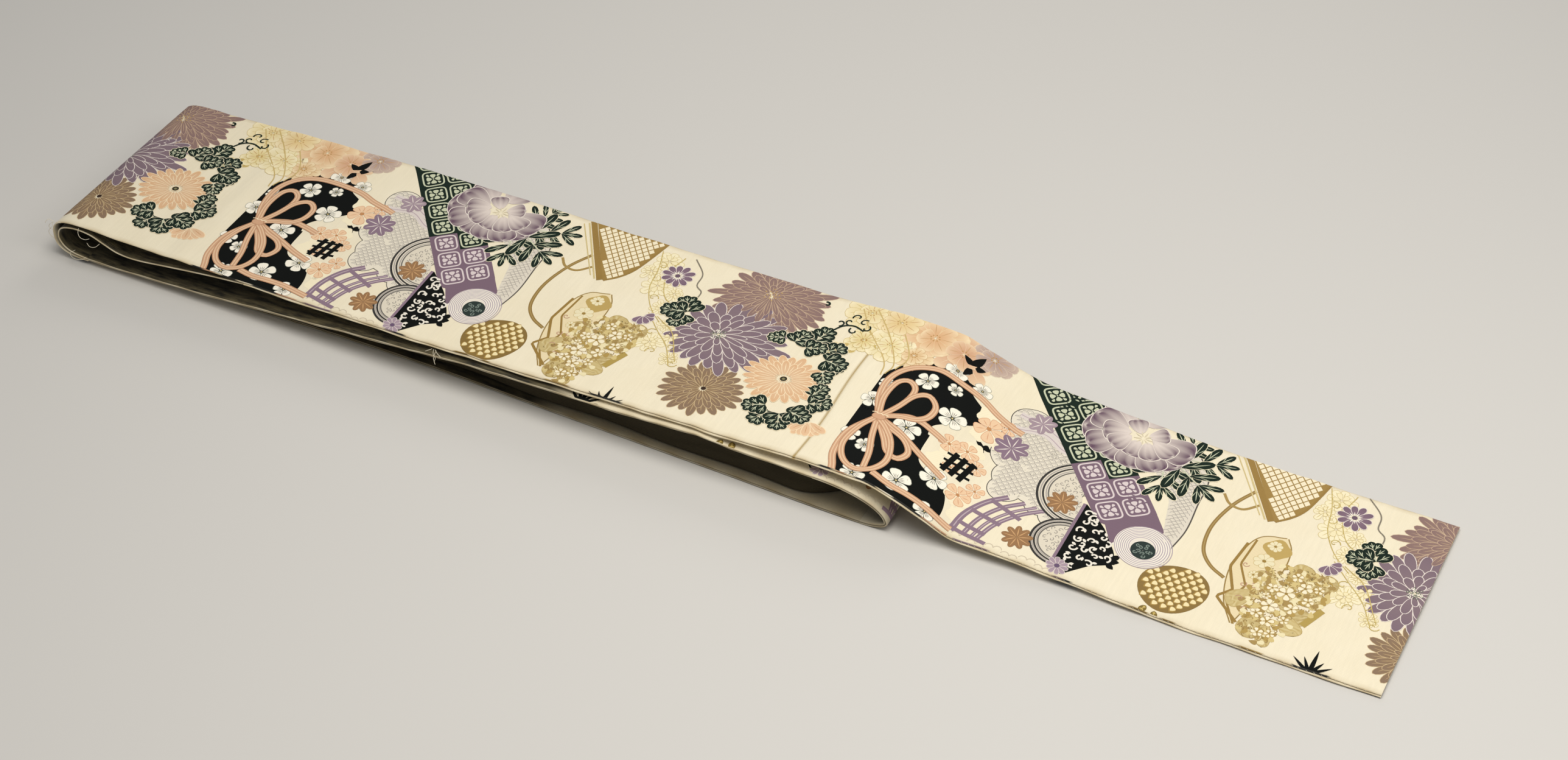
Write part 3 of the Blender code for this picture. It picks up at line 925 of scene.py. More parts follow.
class Design:
    """The figures of one repeat, as quads. The values at a corner are its red, green and blue,
    its level, and 1 if it is gilt."""

    def __init__(self):
        self.quads, self.values, self.count = [], [], 0

    def patch(self, grid, colour, level, gilt=False):
        """Adds grids of points, shaped (..., rows, columns, 2). colour is a hex, or linear
        colours that spread over the grids' points, and level a number or one for each grid.
        Each grid lies a little over the one before, so that no two share a plane."""
        rows, columns = grid.shape[-3:-1]
        grid = grid.reshape(-1, rows, columns, 2)
        colour = linear(colour) if isinstance(colour, str) else colour
        level = np.asarray(level, float) + 0.05 * ((self.count + np.arange(len(grid))) % 9)
        self.count += len(grid)
        values = np.empty((*grid.shape[:3], 5))
        values[..., :3], values[..., 3], values[..., 4] = colour, level[:, None, None], gilt
        for kept, each in ((self.quads, grid), (self.values, values)):
            kept.append(np.stack([each[:, :-1, :-1], each[:, 1:, :-1], each[:, 1:, 1:],
                                  each[:, :-1, 1:]], 3).reshape(-1, 4, each.shape[-1]))

    def line(self, path, half, colour, level, gilt=False):
        """A thin line along a path or along each of several."""
        self.patch(ribbon(path, half, 1), colour, level, gilt)

    def ring(self, centre, count, inner, outer, width, fill, edge, level, start=0.0,
             sweep=360.0, squash=(1, 1), notch=0.0, rim=0.9, shape=ROUND, tip=None, vein=None,
             uneven=0.05, gilt=False, heart=(0, 0)):
        """A ring of petals, each an edge petal with a smaller fill petal on it, and perhaps a
        vein. They spring from a heart that may be off the centre, and the whole is drawn in by
        squash, along and across. Neighbours lie at different levels, so one laps the next."""
        centre = np.asarray(centre, float)
        steps = count if sweep >= 360 else max(count - 1, 1)
        angle = start + sweep * np.arange(count) / steps + RNG.normal(0, 14 * uneven, count)
        base = polar(centre + heart, inner, angle)
        way = polar(centre, outer * (1 + RNG.normal(0, uneven, count)), angle) - base
        length = np.linalg.norm(way, axis=1)
        angle = np.degrees(np.arctan2(way[:, 1], way[:, 0]))
        cycle = 2 if count % 2 == 0 else 3
        lap = level + (3 if vein else 2) * (np.arange(count) % cycle)

        def fit(grid):
            return (grid - centre) * squash + centre

        self.patch(fit(petals(base, angle, length, width, shape, notch)), edge, lap, gilt)
        fills = petals(polar(base, rim, angle), angle, length - 2 * rim, width - rim, shape,
                       notch)
        t = np.linspace(0, 1, fills.shape[1])[None, :, None] * np.ones(fills.shape[:3])
        tones = shaded(fill, tip or fill, t ** 1.3)
        self.patch(fit(fills), tones, lap + 1, gilt)
        if vein:
            veins = petals(polar(base, 0.2 * length, angle), angle, length * 0.62,
                           np.full(count, 0.45), WILLOW, 0, 4, 1)
            self.patch(fit(veins), vein, lap + 2, gilt)

    def dot(self, centre, radius, colour, level):
        """A small round spot."""
        self.patch(disc(centre, radius, 1, 14), colour, level)

    def spots(self, centres, colour, level):
        """Seeds: tiny round spots about many centres."""
        self.patch(disc(0, 1.1, 1, 8)[None] + centres[:, None, None], colour, level)

    def leaf(self, base, angle, length, width, level, fill, vein, stripes):
        """A striped leaf: a dark blade, a pale midrib, and pale slanting veins on both sides."""
        self.patch(petals(base, angle, length, width, WILLOW, 0, 9, 4), fill, level)
        self.patch(petals(base, angle, length * 0.9, 0.7, BLADE, 0, 6, 1), vein, level + 1)
        t = np.linspace(0.16, 0.78, stripes)
        roots = polar(base, length * t, np.full(stripes, angle))
        reach = width * 1.05 * (t ** 0.6 * (1 - t ** 1.6) ** 0.8) / 0.55
        for side in (-1, 1):
            self.patch(petals(roots, angle + side * 42, reach, 0.85, WILLOW, 0, 3, 1), vein,
                       level + 1)

    def frond(self, base, angle, length, level, pairs=3, slim=0.32):
        """A deeply lobed leaf: lobes to both sides of a midrib and one at its tip, each with
        its pale streaks."""
        t = np.repeat(np.linspace(0.05, 0.55, pairs), 2)
        turn = np.append(angle + np.tile((-1, 1), pairs) * (70 - 50 * t), angle)
        reach = length * np.append(0.66 - 0.34 * t, 0.46)
        roots = polar(base, length * np.append(t, 0.55), angle)
        for grow, tone in ((0.7, CREAM), (0.0, DARK_GREEN)):
            self.patch(petals(roots, turn, reach + grow, reach * slim + grow, STRAP, 0.08, 6, 2),
                       tone, level + (grow == 0))
        self.patch(petals(polar(roots, 0.12 * reach, turn), turn, reach * 0.74, 0.6, WILLOW, 0,
                          4, 1), LEAF_PALE, level + 2)
        for side in (-24, 24):
            self.patch(petals(polar(roots, 0.30 * reach, turn), turn + side, reach * 0.42, 0.5,
                              WILLOW, 0, 2, 1), LEAF_PALE, level + 2)
        self.patch(petals(base, angle, length * 0.7, 0.9, BLADE, 0, 6, 1), LEAF_PALE, level + 3)

    def cord(self, points, level, half=4.6):
        """A flat braided cord: its dark edge, its body and two pale ribs along it."""
        path = curve(points, 4.0)
        self.patch(ribbon(path, half, 2), DEEP_ROSE, level)
        self.patch(ribbon(path, half - 0.7, 4), ROSE_TAN, level + 1)
        ribs = ribbon(path, half * 0.42, 2)
        for rib in (ribs[:, 0], ribs[:, 2]):
            self.line(rib, 0.6, "#E6C7A2", level + 2)

    def blossom(self, centre, radius, level, turn=0.0, fill=WHITE, edge="#979A8C"):
        """A cherry blossom: five notched petals, a dark ring of stamens and a pale heart."""
        self.ring(centre, 5, radius * 0.08, radius * 1.04, radius * 0.43, fill, edge, level, turn,
                  notch=0.30, rim=0.6, uneven=0.04, tip=fill)
        spokes = np.repeat(np.arange(5) * 72.0 + turn, 3) + np.tile((-15.0, 0.0, 15.0), 5)
        self.patch(petals(polar(centre, radius * 0.1, spokes), spokes, radius * 0.55, 0.42,
                          BLADE, 0, 2, 1), "#77756A", level + 7)
        self.dot(centre, radius * 0.15, "#4A4B3E", level + 8)
        self.dot(centre, radius * 0.07, PALE_GOLD, level + 9)

    def mum(self, centre, radius, level, fill, edge, rings, squash=(1, 1), tip=None, vein=None,
            rim=0.7, heart=(0, 0)):
        """A chrysanthemum: rings of strap petals from the outermost in. A ring has its count,
        where its petals start and end and their half width, as shares of the radius."""
        for number, (count, inner, outer, width) in enumerate(rings):
            self.ring(centre, count, inner * radius, outer * radius, width * radius, fill, edge,
                      level, number * 7.0, squash=squash, tip=tip, vein=vein, rim=rim,
                      shape=STRAP, heart=np.array(heart) * (1 - 0.3 * outer))
            level += 6 if vein else 4


# Every ring has an even count, so that its petals take only two levels and the next ring starts
# above both.
FULL_MUM = ((30, 0.34, 1.00, 0.082), (26, 0.26, 0.86, 0.078), (22, 0.18, 0.69, 0.070),
            (16, 0.10, 0.51, 0.062), (10, 0.03, 0.30, 0.048))
OPEN_MUM = ((22, 0.24, 1.00, 0.112), (18, 0.14, 0.76, 0.098), (12, 0.06, 0.48, 0.072))


def draw_mums(design):
    """The four chrysanthemums, their lobed leaves and tendrils."""
    design.mum((18, 256), 78, 0, MAUVE_BROWN, MAUVE_EDGE, FULL_MUM, tip="#8A706C",
               vein="#BBA084", heart=(-7, 18))
    for radius, turn in ((4, 0), (8, 20), (12, 45)):
        design.spots(polar((12, 276), radius, np.arange(0, 360, 60) + turn), "#C6A468", 33)
    design.mum((17, 67), 56, 0, TAN, TAN_EDGE, OPEN_MUM, (1.02, 0.94), tip="#8A7360",
               vein="#C2A67C")
    design.dot((18, 68), 3.4, "#3B2B22", 32)
    design.mum((2, 172), 83, 16, PURPLE, PURPLE_EDGE,
               ((24, 0.32, 1.00, 0.098), (20, 0.20, 0.79, 0.094), (14, 0.10, 0.55, 0.080),
                (8, 0.04, 0.30, 0.056)), (0.98, 0.87), tip="#7D6A74", rim=1.0, heart=(-17, 2))
    hearts = polar((-15, 174), np.repeat([4.0, 9.0], 6), np.arange(12) * 60.0)
    design.line(curls(hearts, 3.4, np.arange(12) * 47.0), 0.5, "#5E6656", 36)
    design.line(curls(hearts[::2], 2.4, np.arange(6) * 80.0), 0.5, WHITE, 37)
    design.mum((101, 128), 52, 32, PEACH, PALE_PEACH, OPEN_MUM[:2], (1.08, 0.91), tip="#DBAF84",
               vein=PALE_PEACH, rim=0.9)
    design.dot((101, 128), 6.0, PALE_PEACH, 45)
    design.dot((101, 128), 4.8, "#3F3B2C", 46)
    design.dot((101, 128), 2.0, "#8C8460", 47)
    design.ring((166, 66), 9, 3, 31, 6.0, PEACH, PALE_PEACH, 6, 205, 130, shape=STRAP,
                tip="#E6BE96", vein="#C9966A")
    #    fronds about the peach flower and beside the purple one: base, angle, length
    for number, (u, v, angle, length) in enumerate((
            (66, 204, 200, 24), (80, 200, 70, 30), (98, 196, 20, 30), (104, 214, 75, 34),
            (122, 196, 40, 34), (132, 184, -12, 34), (140, 166, 30, 26), (140, 160, -60, 26),
            (104, 74, 205, 32), (112, 66, 250, 34), (126, 66, 290, 34), (136, 74, 345, 32),
            (144, 88, 300, 30), (150, 96, 20, 32), (148, 112, 70, 28), (150, 120, -20, 22),
            (862, 205, 118, 36), (858, 206, 192, 34), (862, 200, 252, 30))):
        design.frond((u, v), angle, length, 33 + 3 * (number % 3))
    design.line(curve([(112, 238), (122, 256), (136, 262), (152, 256)]), 1.3, DARK_GREEN, 40)
    tips = np.array([(128, 268), (140, 252), (152, 262), (116, 262), (134, 280), (146, 272)])
    design.line(curls(tips, 7.5, np.arange(6) * 70.0, -by_turns(6), 0.8), 1.1, DARK_GREEN, 41)
    design.line(curls([(84, 290)], 5.0, 200.0, 1, 0.8), 1.5, DARK_GREEN, 41)


def draw_far_peonies(design):
    """The pale gold and peach peonies, outlined, that run into the far edge."""
    for number, (u, v, r, fill, tip, edge) in enumerate((
            (146, 296, 38, "#E3CF98", "#F1E4BE", "#C9B06C"),
            (190, 292, 42, "#E0C48C", "#F0E0B8", "#CDB074"),
            (240, 284, 42, "#D7A97C", "#EFD9B2", "#E9D3A8"),
            (284, 276, 40, "#CFA07E", "#E9CDA8", "#E6CFAC"),
            (318, 298, 32, "#AE958A", "#C9B3A2", "#DCCAB2"),
            (196, 244, 34, "#E6D6A2", "#F3E7C4", "#C9B06C"),
            (230, 240, 28, "#DDBB8C", "#F1DFB8", "#CDA878"),
            (160, 240, 26, "#DFCB8E", "#F1E5BE", "#C4A962"))):
        design.ring((u, v), 9, 2, r, r * 0.30, fill, edge, number % 3 * 6, number * 13,
                    rim=0.55, uneven=0.12, vein=edge, tip=tip, notch=0.1)
        design.ring((u, v), 7, 1, r * 0.64, r * 0.22, fill, edge, 20 + number % 2 * 5,
                    number * 29, rim=0.5, uneven=0.14, vein="#C39A6A", tip=tip)
        design.spots(polar((u, v), r * 0.14, np.arange(8) * 45.0), "#B98F54", 31)
    for points in (((132, 300), (158, 262), (200, 214), (208, 186)),
                   ((150, 306), (186, 262), (214, 214), (212, 190)),
                   ((176, 306), (206, 268), (226, 232), (220, 204))):
        design.line(curve(points), 0.8, "#C9B074", 32)
    design.ring((142, 206), 7, 2, 22, 5, "#CDB26C", "#E9D8A2", 4, 35, 150, gilt=True)
    for base, angle, length, width in (((300, 268), 70, 26, 6), ((300, 268), 150, 18, 5),
                                       ((304, 266), 20, 14, 5), ((302, 262), 250, 18, 5)):
        design.patch(petals(base, angle, length, width, BLADE, 0, 6, 2), BLACK, 34)


def draw_bow_panel(design):
    """The black ground with its cherry blossoms and the peach cord tied in a bow."""
    left = outline([(234, -6), (211, 37), (211, 122)])
    right = curve([(354, -6), (366, 20), (354, 58), (318, 70), (308, 88), (306, 122)])
    design.patch(between(left, right, 24), BLACK, 0)
    left = outline([(211, 118), (211, 193), (246, 248)])
    right = curve([(304, 118), (302, 138), (318, 158), (344, 182), (346, 206), (318, 226),
                   (318, 248)])
    design.patch(between(left, right, 22), BLACK, 0)
    design.patch(disc((364, 154), lambda a: 8 + 3 * np.sin(3 * a) + 2 * np.cos(5 * a)), BLACK, 0)
    for u, v, r in ((352, 206, 16), (338, 122, 17), (358, 140, 14), (330, 92, 15),
                    (372, 62, 17), (384, 36, 15), (352, 172, 12), (378, 176, 15)):
        design.patch(disc((u, v), lambda a: r * (1 + 0.12 * np.cos(5 * a + u))), CREAM, 1)
    for u, v, r in ((358, 188, 21), (330, 128, 15), (352, 134, 14), (371, 118, 13),
                    (370, 64, 16), (346, 96, 11), (378, 206, 12), (384, 84, 12)):
        design.ring((u, v), 5, 2, r, r * 0.4, "#EBC8A2", "#D6A37E", 3, u, notch=0.15, rim=0.8,
                    uneven=0.06, vein="#D09A74")
        design.dot((u, v), r * 0.15, "#C08A5C", 12)
    for number, (u, v, r) in enumerate((
            (266, 203, 15), (316, 168, 18), (289, 245, 16), (327, 238, 13), (278, 112, 18),
            (304, 26, 18), (338, 64, 17), (221, 70, 13), (219, 140, 15), (254, 5, 17),
            (246, 58, 12), (350, 9, 14), (300, 214, 10), (222, 176, 10))):
        design.blossom((u, v), r, 4, number * 23)
    #    a plain slanting lattice on the cream
    for offset in (-11, 0, 11):
        design.line(outline([(350 + offset, 84), (356 + offset, 122)]), 3.4, BLACK, 14)
    for height in (93, 105, 117):
        design.line(outline([(334, height - 3), (372, height + 2)]), 1.9, BLACK, 15)
    cords = (
        ((239, 113), (218, 72), (217, 32), (227, 6), (232, -10)),
        ((239, 113), (224, 150), (221, 184), (232, 210), (254, 226), (285, 231), (330, 227),
         (360, 216), (396, 208)),
        ((239, 113), (258, 124), (285, 133), (305, 131), (325, 126)),
        ((239, 113), (265, 103), (292, 92), (320, 80), (346, 72)),
        ((274, 18), (300, 14), (340, 16), (384, 10)),
        ((239, 113), (230, 150), (233, 182), (246, 192), (259, 180), (257, 152), (240, 113)),
        ((239, 113), (252, 138), (263, 167), (279, 179), (293, 168), (292, 146), (279, 130),
         (260, 124), (240, 114)),
        ((240, 113), (264, 99), (286, 90), (297, 75), (290, 58), (275, 60), (262, 80),
         (240, 110)),
        ((239, 113), (247, 78), (257, 48), (262, 20)),
        ((239, 113), (226, 85), (221, 50), (232, 24), (252, 13), (272, 22), (281, 46),
         (273, 76), (256, 98), (239, 112)),
    )
    for number, points in enumerate(cords):
        design.cord(points, 16 + 3 * number, 4.8 if number < 5 else 4.3)
    for size, tone, level in ((7.5, DEEP_ROSE, 47), (6.6, ROSE_TAN, 48)):
        design.patch(disc((240, 113), lambda a: size + 1.6 * np.cos(2 * a)), tone, level)
    design.line(arcs([(233, 113), (240, 113), (247, 113)], 6.0, 50, 130), 0.7, PALE_PEACH, 49)


def inside(points, circles, margin):
    """Which points are at least margin inside one of the circles (u, v, radius)."""
    circles = np.asarray(circles, float)
    away = np.linalg.norm(points[:, None] - circles[None, :, :2], axis=2)
    return (away < circles[None, :, 2] - margin).any(axis=1)


def staggered(low, high, pitch, row):
    """Points of a staggered lattice over a box."""
    u, v = np.meshgrid(np.arange(low[0], high[0], pitch), np.arange(low[1], high[1], row))
    u = u + (np.arange(len(u)) % 2)[:, None] * pitch / 2
    return np.stack([u.ravel(), v.ravel()], -1)


def medallion(design, centre, radius, start, stop, level):
    """Half a round fan: dark and pale arcs along its rim, small curls over its field."""
    reach = np.linspace(0.02, 1, 6)[None, :] * radius
    angle = np.linspace(start, stop, 26)[:, None]
    design.patch(polar(centre, reach + 0 * angle, angle + 0 * reach), "#DDD3BF", level)
    for share, half, colour in ((1.0, 1.5, DARK_LINE), (0.93, 0.8, GREY_LINE),
                                (0.87, 1.2, DARK_LINE), (0.80, 0.7, GREY_LINE),
                                (0.75, 0.9, "#6C6862")):
        rim = arcs([centre], radius * share, start, stop, 30)
        design.line(rim, half, colour, level + 1)
    field = staggered(np.array(centre) - radius, np.array(centre) + radius, 8.5, 6.5)
    away = field - centre
    turned = np.degrees(np.arctan2(away[:, 1], away[:, 0]))
    middle = (start + stop) / 2
    off = np.abs((turned - middle + 180) % 360 - 180)
    keep = (np.linalg.norm(away, axis=1) < radius * 0.66) & (off < (stop - start) / 2 - 6)
    count = keep.sum()
    design.line(curls(field[keep], 3.6, np.arange(count) * 67.0, by_turns(count), 0.9, 8), 0.45,
                "#8A847C", level + 1)


def maple(design, centre, radius, count, fill, vein, level):
    """A maple leaf drawn as a star: its rim swings in and out as |cos| of the angle."""
    turn = centre[0]
    design.patch(disc(centre, lambda a: radius * (
        0.62 + 0.38 * np.abs(np.cos(count / 2 * a + turn)) ** 0.8), 4, 64), fill, level)
    spokes = np.arange(count) * 360.0 / count - np.degrees(turn) * 2 / count
    design.patch(petals(polar(centre, 1.0, spokes), spokes, radius * 0.86, 0.75, BLADE, 0, 4,
                        1), vein, level + 1)


def draw_clouds(design):
    """The scaled clouds, the two half medallions, the maples and the striped bridge."""
    lobes = ((398, 232, 26), (402, 200, 30), (398, 166, 26), (412, 132, 24), (436, 178, 34),
             (446, 212, 30), (414, 108, 22), (446, 128, 30), (470, 150, 34), (462, 104, 20),
             (486, 92, 20), (478, 190, 30), (470, 226, 22))
    for u, v, r in lobes:
        design.patch(disc((u, v), r + 0.9, 1, 34), DARK_LINE, 0)
    for u, v, r in lobes:
        design.patch(disc((u, v), r - 0.1, 5, 34), "#E5DCC8", 1)
    scales = staggered((370, 84), (512, 262), 9.0, 4.6)
    scales = scales[inside(scales, lobes, 4.6)]
    design.line(arcs(scales, 4.5, 12, 168), 0.42, "#9C958E", 2)
    design.line(arcs(scales, 2.6, 20, 160, 5), 0.35, "#B5AEA6", 2)
    medallion(design, (503, 142), 56, 88, 292, 6)
    medallion(design, (512, 56), 40, 92, 268, 8)
    for points in (((380, 240), (410, 238), (440, 224), (470, 222)),
                   ((384, 214), (420, 222), (452, 206), (478, 208))):
        path = curve(points)
        design.patch(ribbon(path, 5.0, 2), "#D9CEC6", 5)
        design.line(path, 0.6, LILAC, 6)
    maple(design, (393, 178), 23, 8, "#8A7482", PURPLE_EDGE, 12)
    maple(design, (410, 238), 19, 7, "#A28E96", PURPLE_EDGE, 12)
    for centre in ((485, 120), (460, 37)):
        maple(design, centre, 20, 9, MAPLE, "#CBA070", 14)
    #    the bridge: curved mauve boards, crossed by short ones
    for offset, half in ((0, 4.2), (20, 3.4), (34, 2.4), (44, 3.2)):
        board = curve([(384 + offset * 0.75, 10), (388 + offset * 0.9, 44),
                       (402 + offset * 1.05, 74), (424 + offset * 1.1, 96)])
        design.patch(ribbon(board, half, 2), "#8C7684", 3)
        design.line(board, 0.7, "#BBA9AE", 4)
    for a, b in (((386, 30), (424, 22)), ((392, 56), (434, 46)), ((408, 82), (452, 66)),
                 ((380, 16), (430, 8))):
        design.patch(ribbon(outline([a, b]), 3.0, 2), "#8C7684", 5)
    for u in np.arange(392, 520, 11.0):
        design.line(arcs([(u, 4 + 3 * np.sin(u))], 5.5, 10, 170, 7), 0.6, "#CDBFA6", 2)


BAND_WAY = np.array([0.645, -0.764])     # along the brocade band, towards the near edge
BAND_SQUARE = np.array([0.764, 0.645])   # across it
BAND_END = np.array([566, 134])          # middle of the band's lower end
BAND_HALF = 39.0
CELL = 35.0                              # from one flowered square to the next


def band_point(along, across):
    """A point on the brocade band: along from its lower end, back up, and across it."""
    return (BAND_END - np.multiply.outer(along, BAND_WAY)
            + np.multiply.outer(across, BAND_SQUARE))


def draw_brocade_band(design):
    """The slanting band of flowered squares, green above and mauve below, and its roll."""
    #    pale field of fine wave lines on the band's right
    left = outline([(540, 290), (566, 230), (600, 190), (612, 140), (622, 110)])
    right = curve([(600, 292), (630, 250), (634, 200), (637, 150), (630, 104)])
    design.patch(between(left, right, 9), "#DCD3C2", 0)
    design.line(right, 0.9, "#57524C", 2)
    waves = staggered((556, 112), (634, 262), 8.0, 3.6)
    edge = np.interp(waves[:, 1], [104, 150, 200, 250, 292], [626, 632, 629, 624, 596])
    back = np.interp(waves[:, 1], [110, 140, 190, 230, 290], [622, 612, 600, 566, 540])
    waves = waves[(waves[:, 0] < edge - 1) & (waves[:, 0] > back + 3)]
    design.line(arcs(waves, 4.0, 15, 165), 0.4, "#A39B92", 2)
    a = np.linspace(0, 2 * np.pi, 33)
    frame_u, frame_v = [14.6 * np.sign(wave) * np.abs(wave) ** 0.42
                        for wave in (np.cos(a), np.sin(a))]
    lean = np.degrees(np.arctan2(BAND_WAY[1], BAND_WAY[0]))
    u, v = np.meshgrid(np.linspace(-0.5, 0.5, 7), np.linspace(-0.5, 0.5, 7), indexing="ij")
    for row in range(8):
        for side in (-1, 1):
            along, across = row * CELL + CELL / 2, side * CELL / 2
            middle = band_point(along, across)
            green = row >= (3 if side < 0 else 2)
            ground = DARK_GREEN if green else "#7B6572"
            figure = LEAF_PALE if green else "#D9CBC9"
            square = band_point(along + u.ravel() * CELL, across + v.ravel() * CELL)
            design.patch(square.reshape(7, 7, 2), ground, 8)
            edge = band_point(np.array([along - CELL / 2, along + CELL / 2]),
                              np.full(2, side * (CELL + 1.9)))
            design.patch(ribbon(outline(edge), 2.4, 1), ground, 8)
            design.line(middle + frame_u[:, None] * BAND_WAY
                        + frame_v[:, None] * BAND_SQUARE, 1.15, figure, 9)
            design.ring(middle, 4, 1.2, 10.5, 4.6, figure, ground, 10, lean, notch=0.25,
                        rim=0.5, uneven=0.0)
            design.ring(middle, 4, 7.5, 13.2, 2.0, figure, figure, 10, lean + 45, rim=0.3,
                        uneven=0.0)
            design.dot(middle, 2.3, ground, 16)
            design.dot(middle, 1.1, figure, 17)
    tail = outline([band_point(0.0, -BAND_HALF), (545, 112), (563, 84)])
    tip = outline([band_point(0.0, BAND_HALF), (615, 135), (604, 98)])
    design.patch(between(tail, tip, 6), "#7B6572", 7)
    #    the roll's end: thread-fine rings round a dark eye
    design.patch(disc((600, 98), 35, 5, 40), "#E7DECF", 18)
    for first, last, half, tone in ((16.5, 36, 0.5, "#AD9FA9"), (17.8, 35, 0.35, WHITE)):
        for radius in np.arange(first, last, 2.7):
            design.line(loop((600 + (radius - 16) * 0.1, 98), radius, 44), half, tone, 19)
    design.patch(disc((603, 93), 15.5, 3, 30), "#2F3A36", 20)
    design.line(curls(polar((603, 93), np.repeat([5.5, 10.5], 5), np.arange(10) * 72.0), 3.2,
                      np.arange(10) * 40.0), 0.6, "#7F8C82", 21)


def draw_peony(design):
    """The large purple peony, pale towards its heart, with its striped leaves."""
    #          base        angle length width
    rows = (((512, 276), 190, 60, 24), ((510, 280), 162, 52, 22), ((508, 270), 222, 52, 20),
            ((516, 268), 250, 48, 20), ((526, 268), 278, 50, 21), ((536, 268), 304, 50, 20),
            ((544, 272), 330, 52, 20), ((542, 280), 354, 58, 24), ((526, 300), 70, 36, 22),
            ((508, 296), 132, 44, 22), ((514, 282), 200, 38, 18), ((516, 276), 236, 34, 15),
            ((528, 272), 262, 32, 15), ((538, 274), 296, 34, 14), ((546, 278), 336, 34, 15),
            ((536, 284), 30, 28, 13), ((526, 284), 120, 28, 13))
    t = np.linspace(0, 1, 13)[None, :, None]
    a = np.linspace(-1, 1, 11)[None, None, :]
    for number, (base, angle, length, width) in enumerate(rows):
        for grow, level in ((1.0, 0), (0.0, 1)):
            shape = petals(base, angle, length + grow, width + grow,
                           dict(rise=0.6, fall=5.0, blunt=0.45), 0.10, 12, 10, 0.035, 0.04)
            fade = 1.15 * t ** 1.2 + 0.24 * np.cos(9 * a + number) * t + 0.14 * np.abs(a) - 0.9 * (
                t ** 12) - 0.12 * (number > 9)
            colour = "#E9DFD2" if grow else shaded("#DDD0C6", "#644C5C", fade)
            design.patch(shape, colour, 22 + 2 * (number % 3) + level + 4 * (number > 9))
    spokes = np.arange(9) * 40.0
    design.patch(petals(polar((531, 278), 2, spokes), spokes, 11, 0.8, BLADE, 0, 3, 1),
                 "#D9CDB0", 35)
    for number, (u, v, angle, length) in enumerate((
            (584, 286, 62, 50), (594, 270, 14, 66), (588, 254, -32, 72), (572, 246, -76, 66))):
        design.frond((u, v), angle, length, 12 + 3 * (number % 3), 3, 0.15)


def draw_arabesque(design):
    """The black corner of curling white vines, with a small purple flower at its foot."""
    spine = outline([(513, 132), (513, 10)])
    point = outline([(514, 132), (548, 104), (572, 74), (583, 54), (556, 36), (530, 6)])
    design.patch(between(spine, point, 14), BLACK, 10)
    spots = np.array([(521, 118), (523, 103), (535, 106), (524, 88), (540, 92), (553, 88),
                      (527, 72), (543, 76), (558, 70), (525, 56), (541, 58), (556, 53),
                      (569, 58), (525, 40), (540, 42), (553, 38), (523, 25), (535, 26),
                      (530, 112), (562, 80), (534, 66), (550, 64)])
    number = np.arange(len(spots))
    design.line(curls(spots, 6.6 - number % 3, number * 83.0, by_turns(len(spots)), 0.95, 14),
                1.25, "#E8E1D2", 11)
    design.patch(petals(spots + (3, 4), number * 97.0, 7, 1.9, WILLOW, 0, 4, 2), "#E8E1D2", 12)
    design.patch(ribbon(outline([(511, 132), (512, 12)]), 2.0, 1), "#8C7684", 13)
    design.ring((521, 17), 10, 2, 15, 3.4, "#A8949E", PURPLE_EDGE, 14, rim=0.6)
    design.dot((521, 17), 3.4, "#6A566F", 20)
    for base, angle in (((574, 56), 15), ((572, 50), -25), ((576, 60), 60)):
        design.patch(petals(base, angle, 12, 4, POINTED), BLACK, 10)


def draw_pine_cone(design):
    """The pine cone: an egg of gold scales, each with a pale tip, in staggered rows. From its
    centre the egg's edge is 44 * (1 - 0.11 * sin(b)^2 * (1 + cos(b))), b from its point."""
    def egg(a):
        """The egg's reach at an angle a."""
        return 44 * (1 - 0.11 * np.sin(a - 0.7) ** 2 * (1 + np.cos(a - 0.7)))
    centre = np.array([659, 52])
    design.patch(disc(centre, egg, 5, 44), "#8A6E35", 0, True)
    spots = staggered((611, 3), (707, 101), 11.6, 7.6)
    away = spots - centre
    away = away[np.linalg.norm(away, axis=1) < egg(np.arctan2(away[:, 1], away[:, 0])) - 3.2]
    lean = np.degrees(0.7 - 0.012 * away[:, 1])
    for back, length, width, tone, level in ((4.8, 10.0, 4.7, "#AB8A42", 3),
                                             (2.6, 7.6, 3.6, "#EEDDAB", 6)):
        design.patch(petals(away + centre - polar(0, back, lean), lean, length, width, rows=5),
                     tone, level, level == 3)
    for base, angle in (((640, 10), 250), ((652, 7), 280)):
        design.leaf(base, angle, 15, 4.5, 9, "#7E6A37", "#C7AE67", 3)


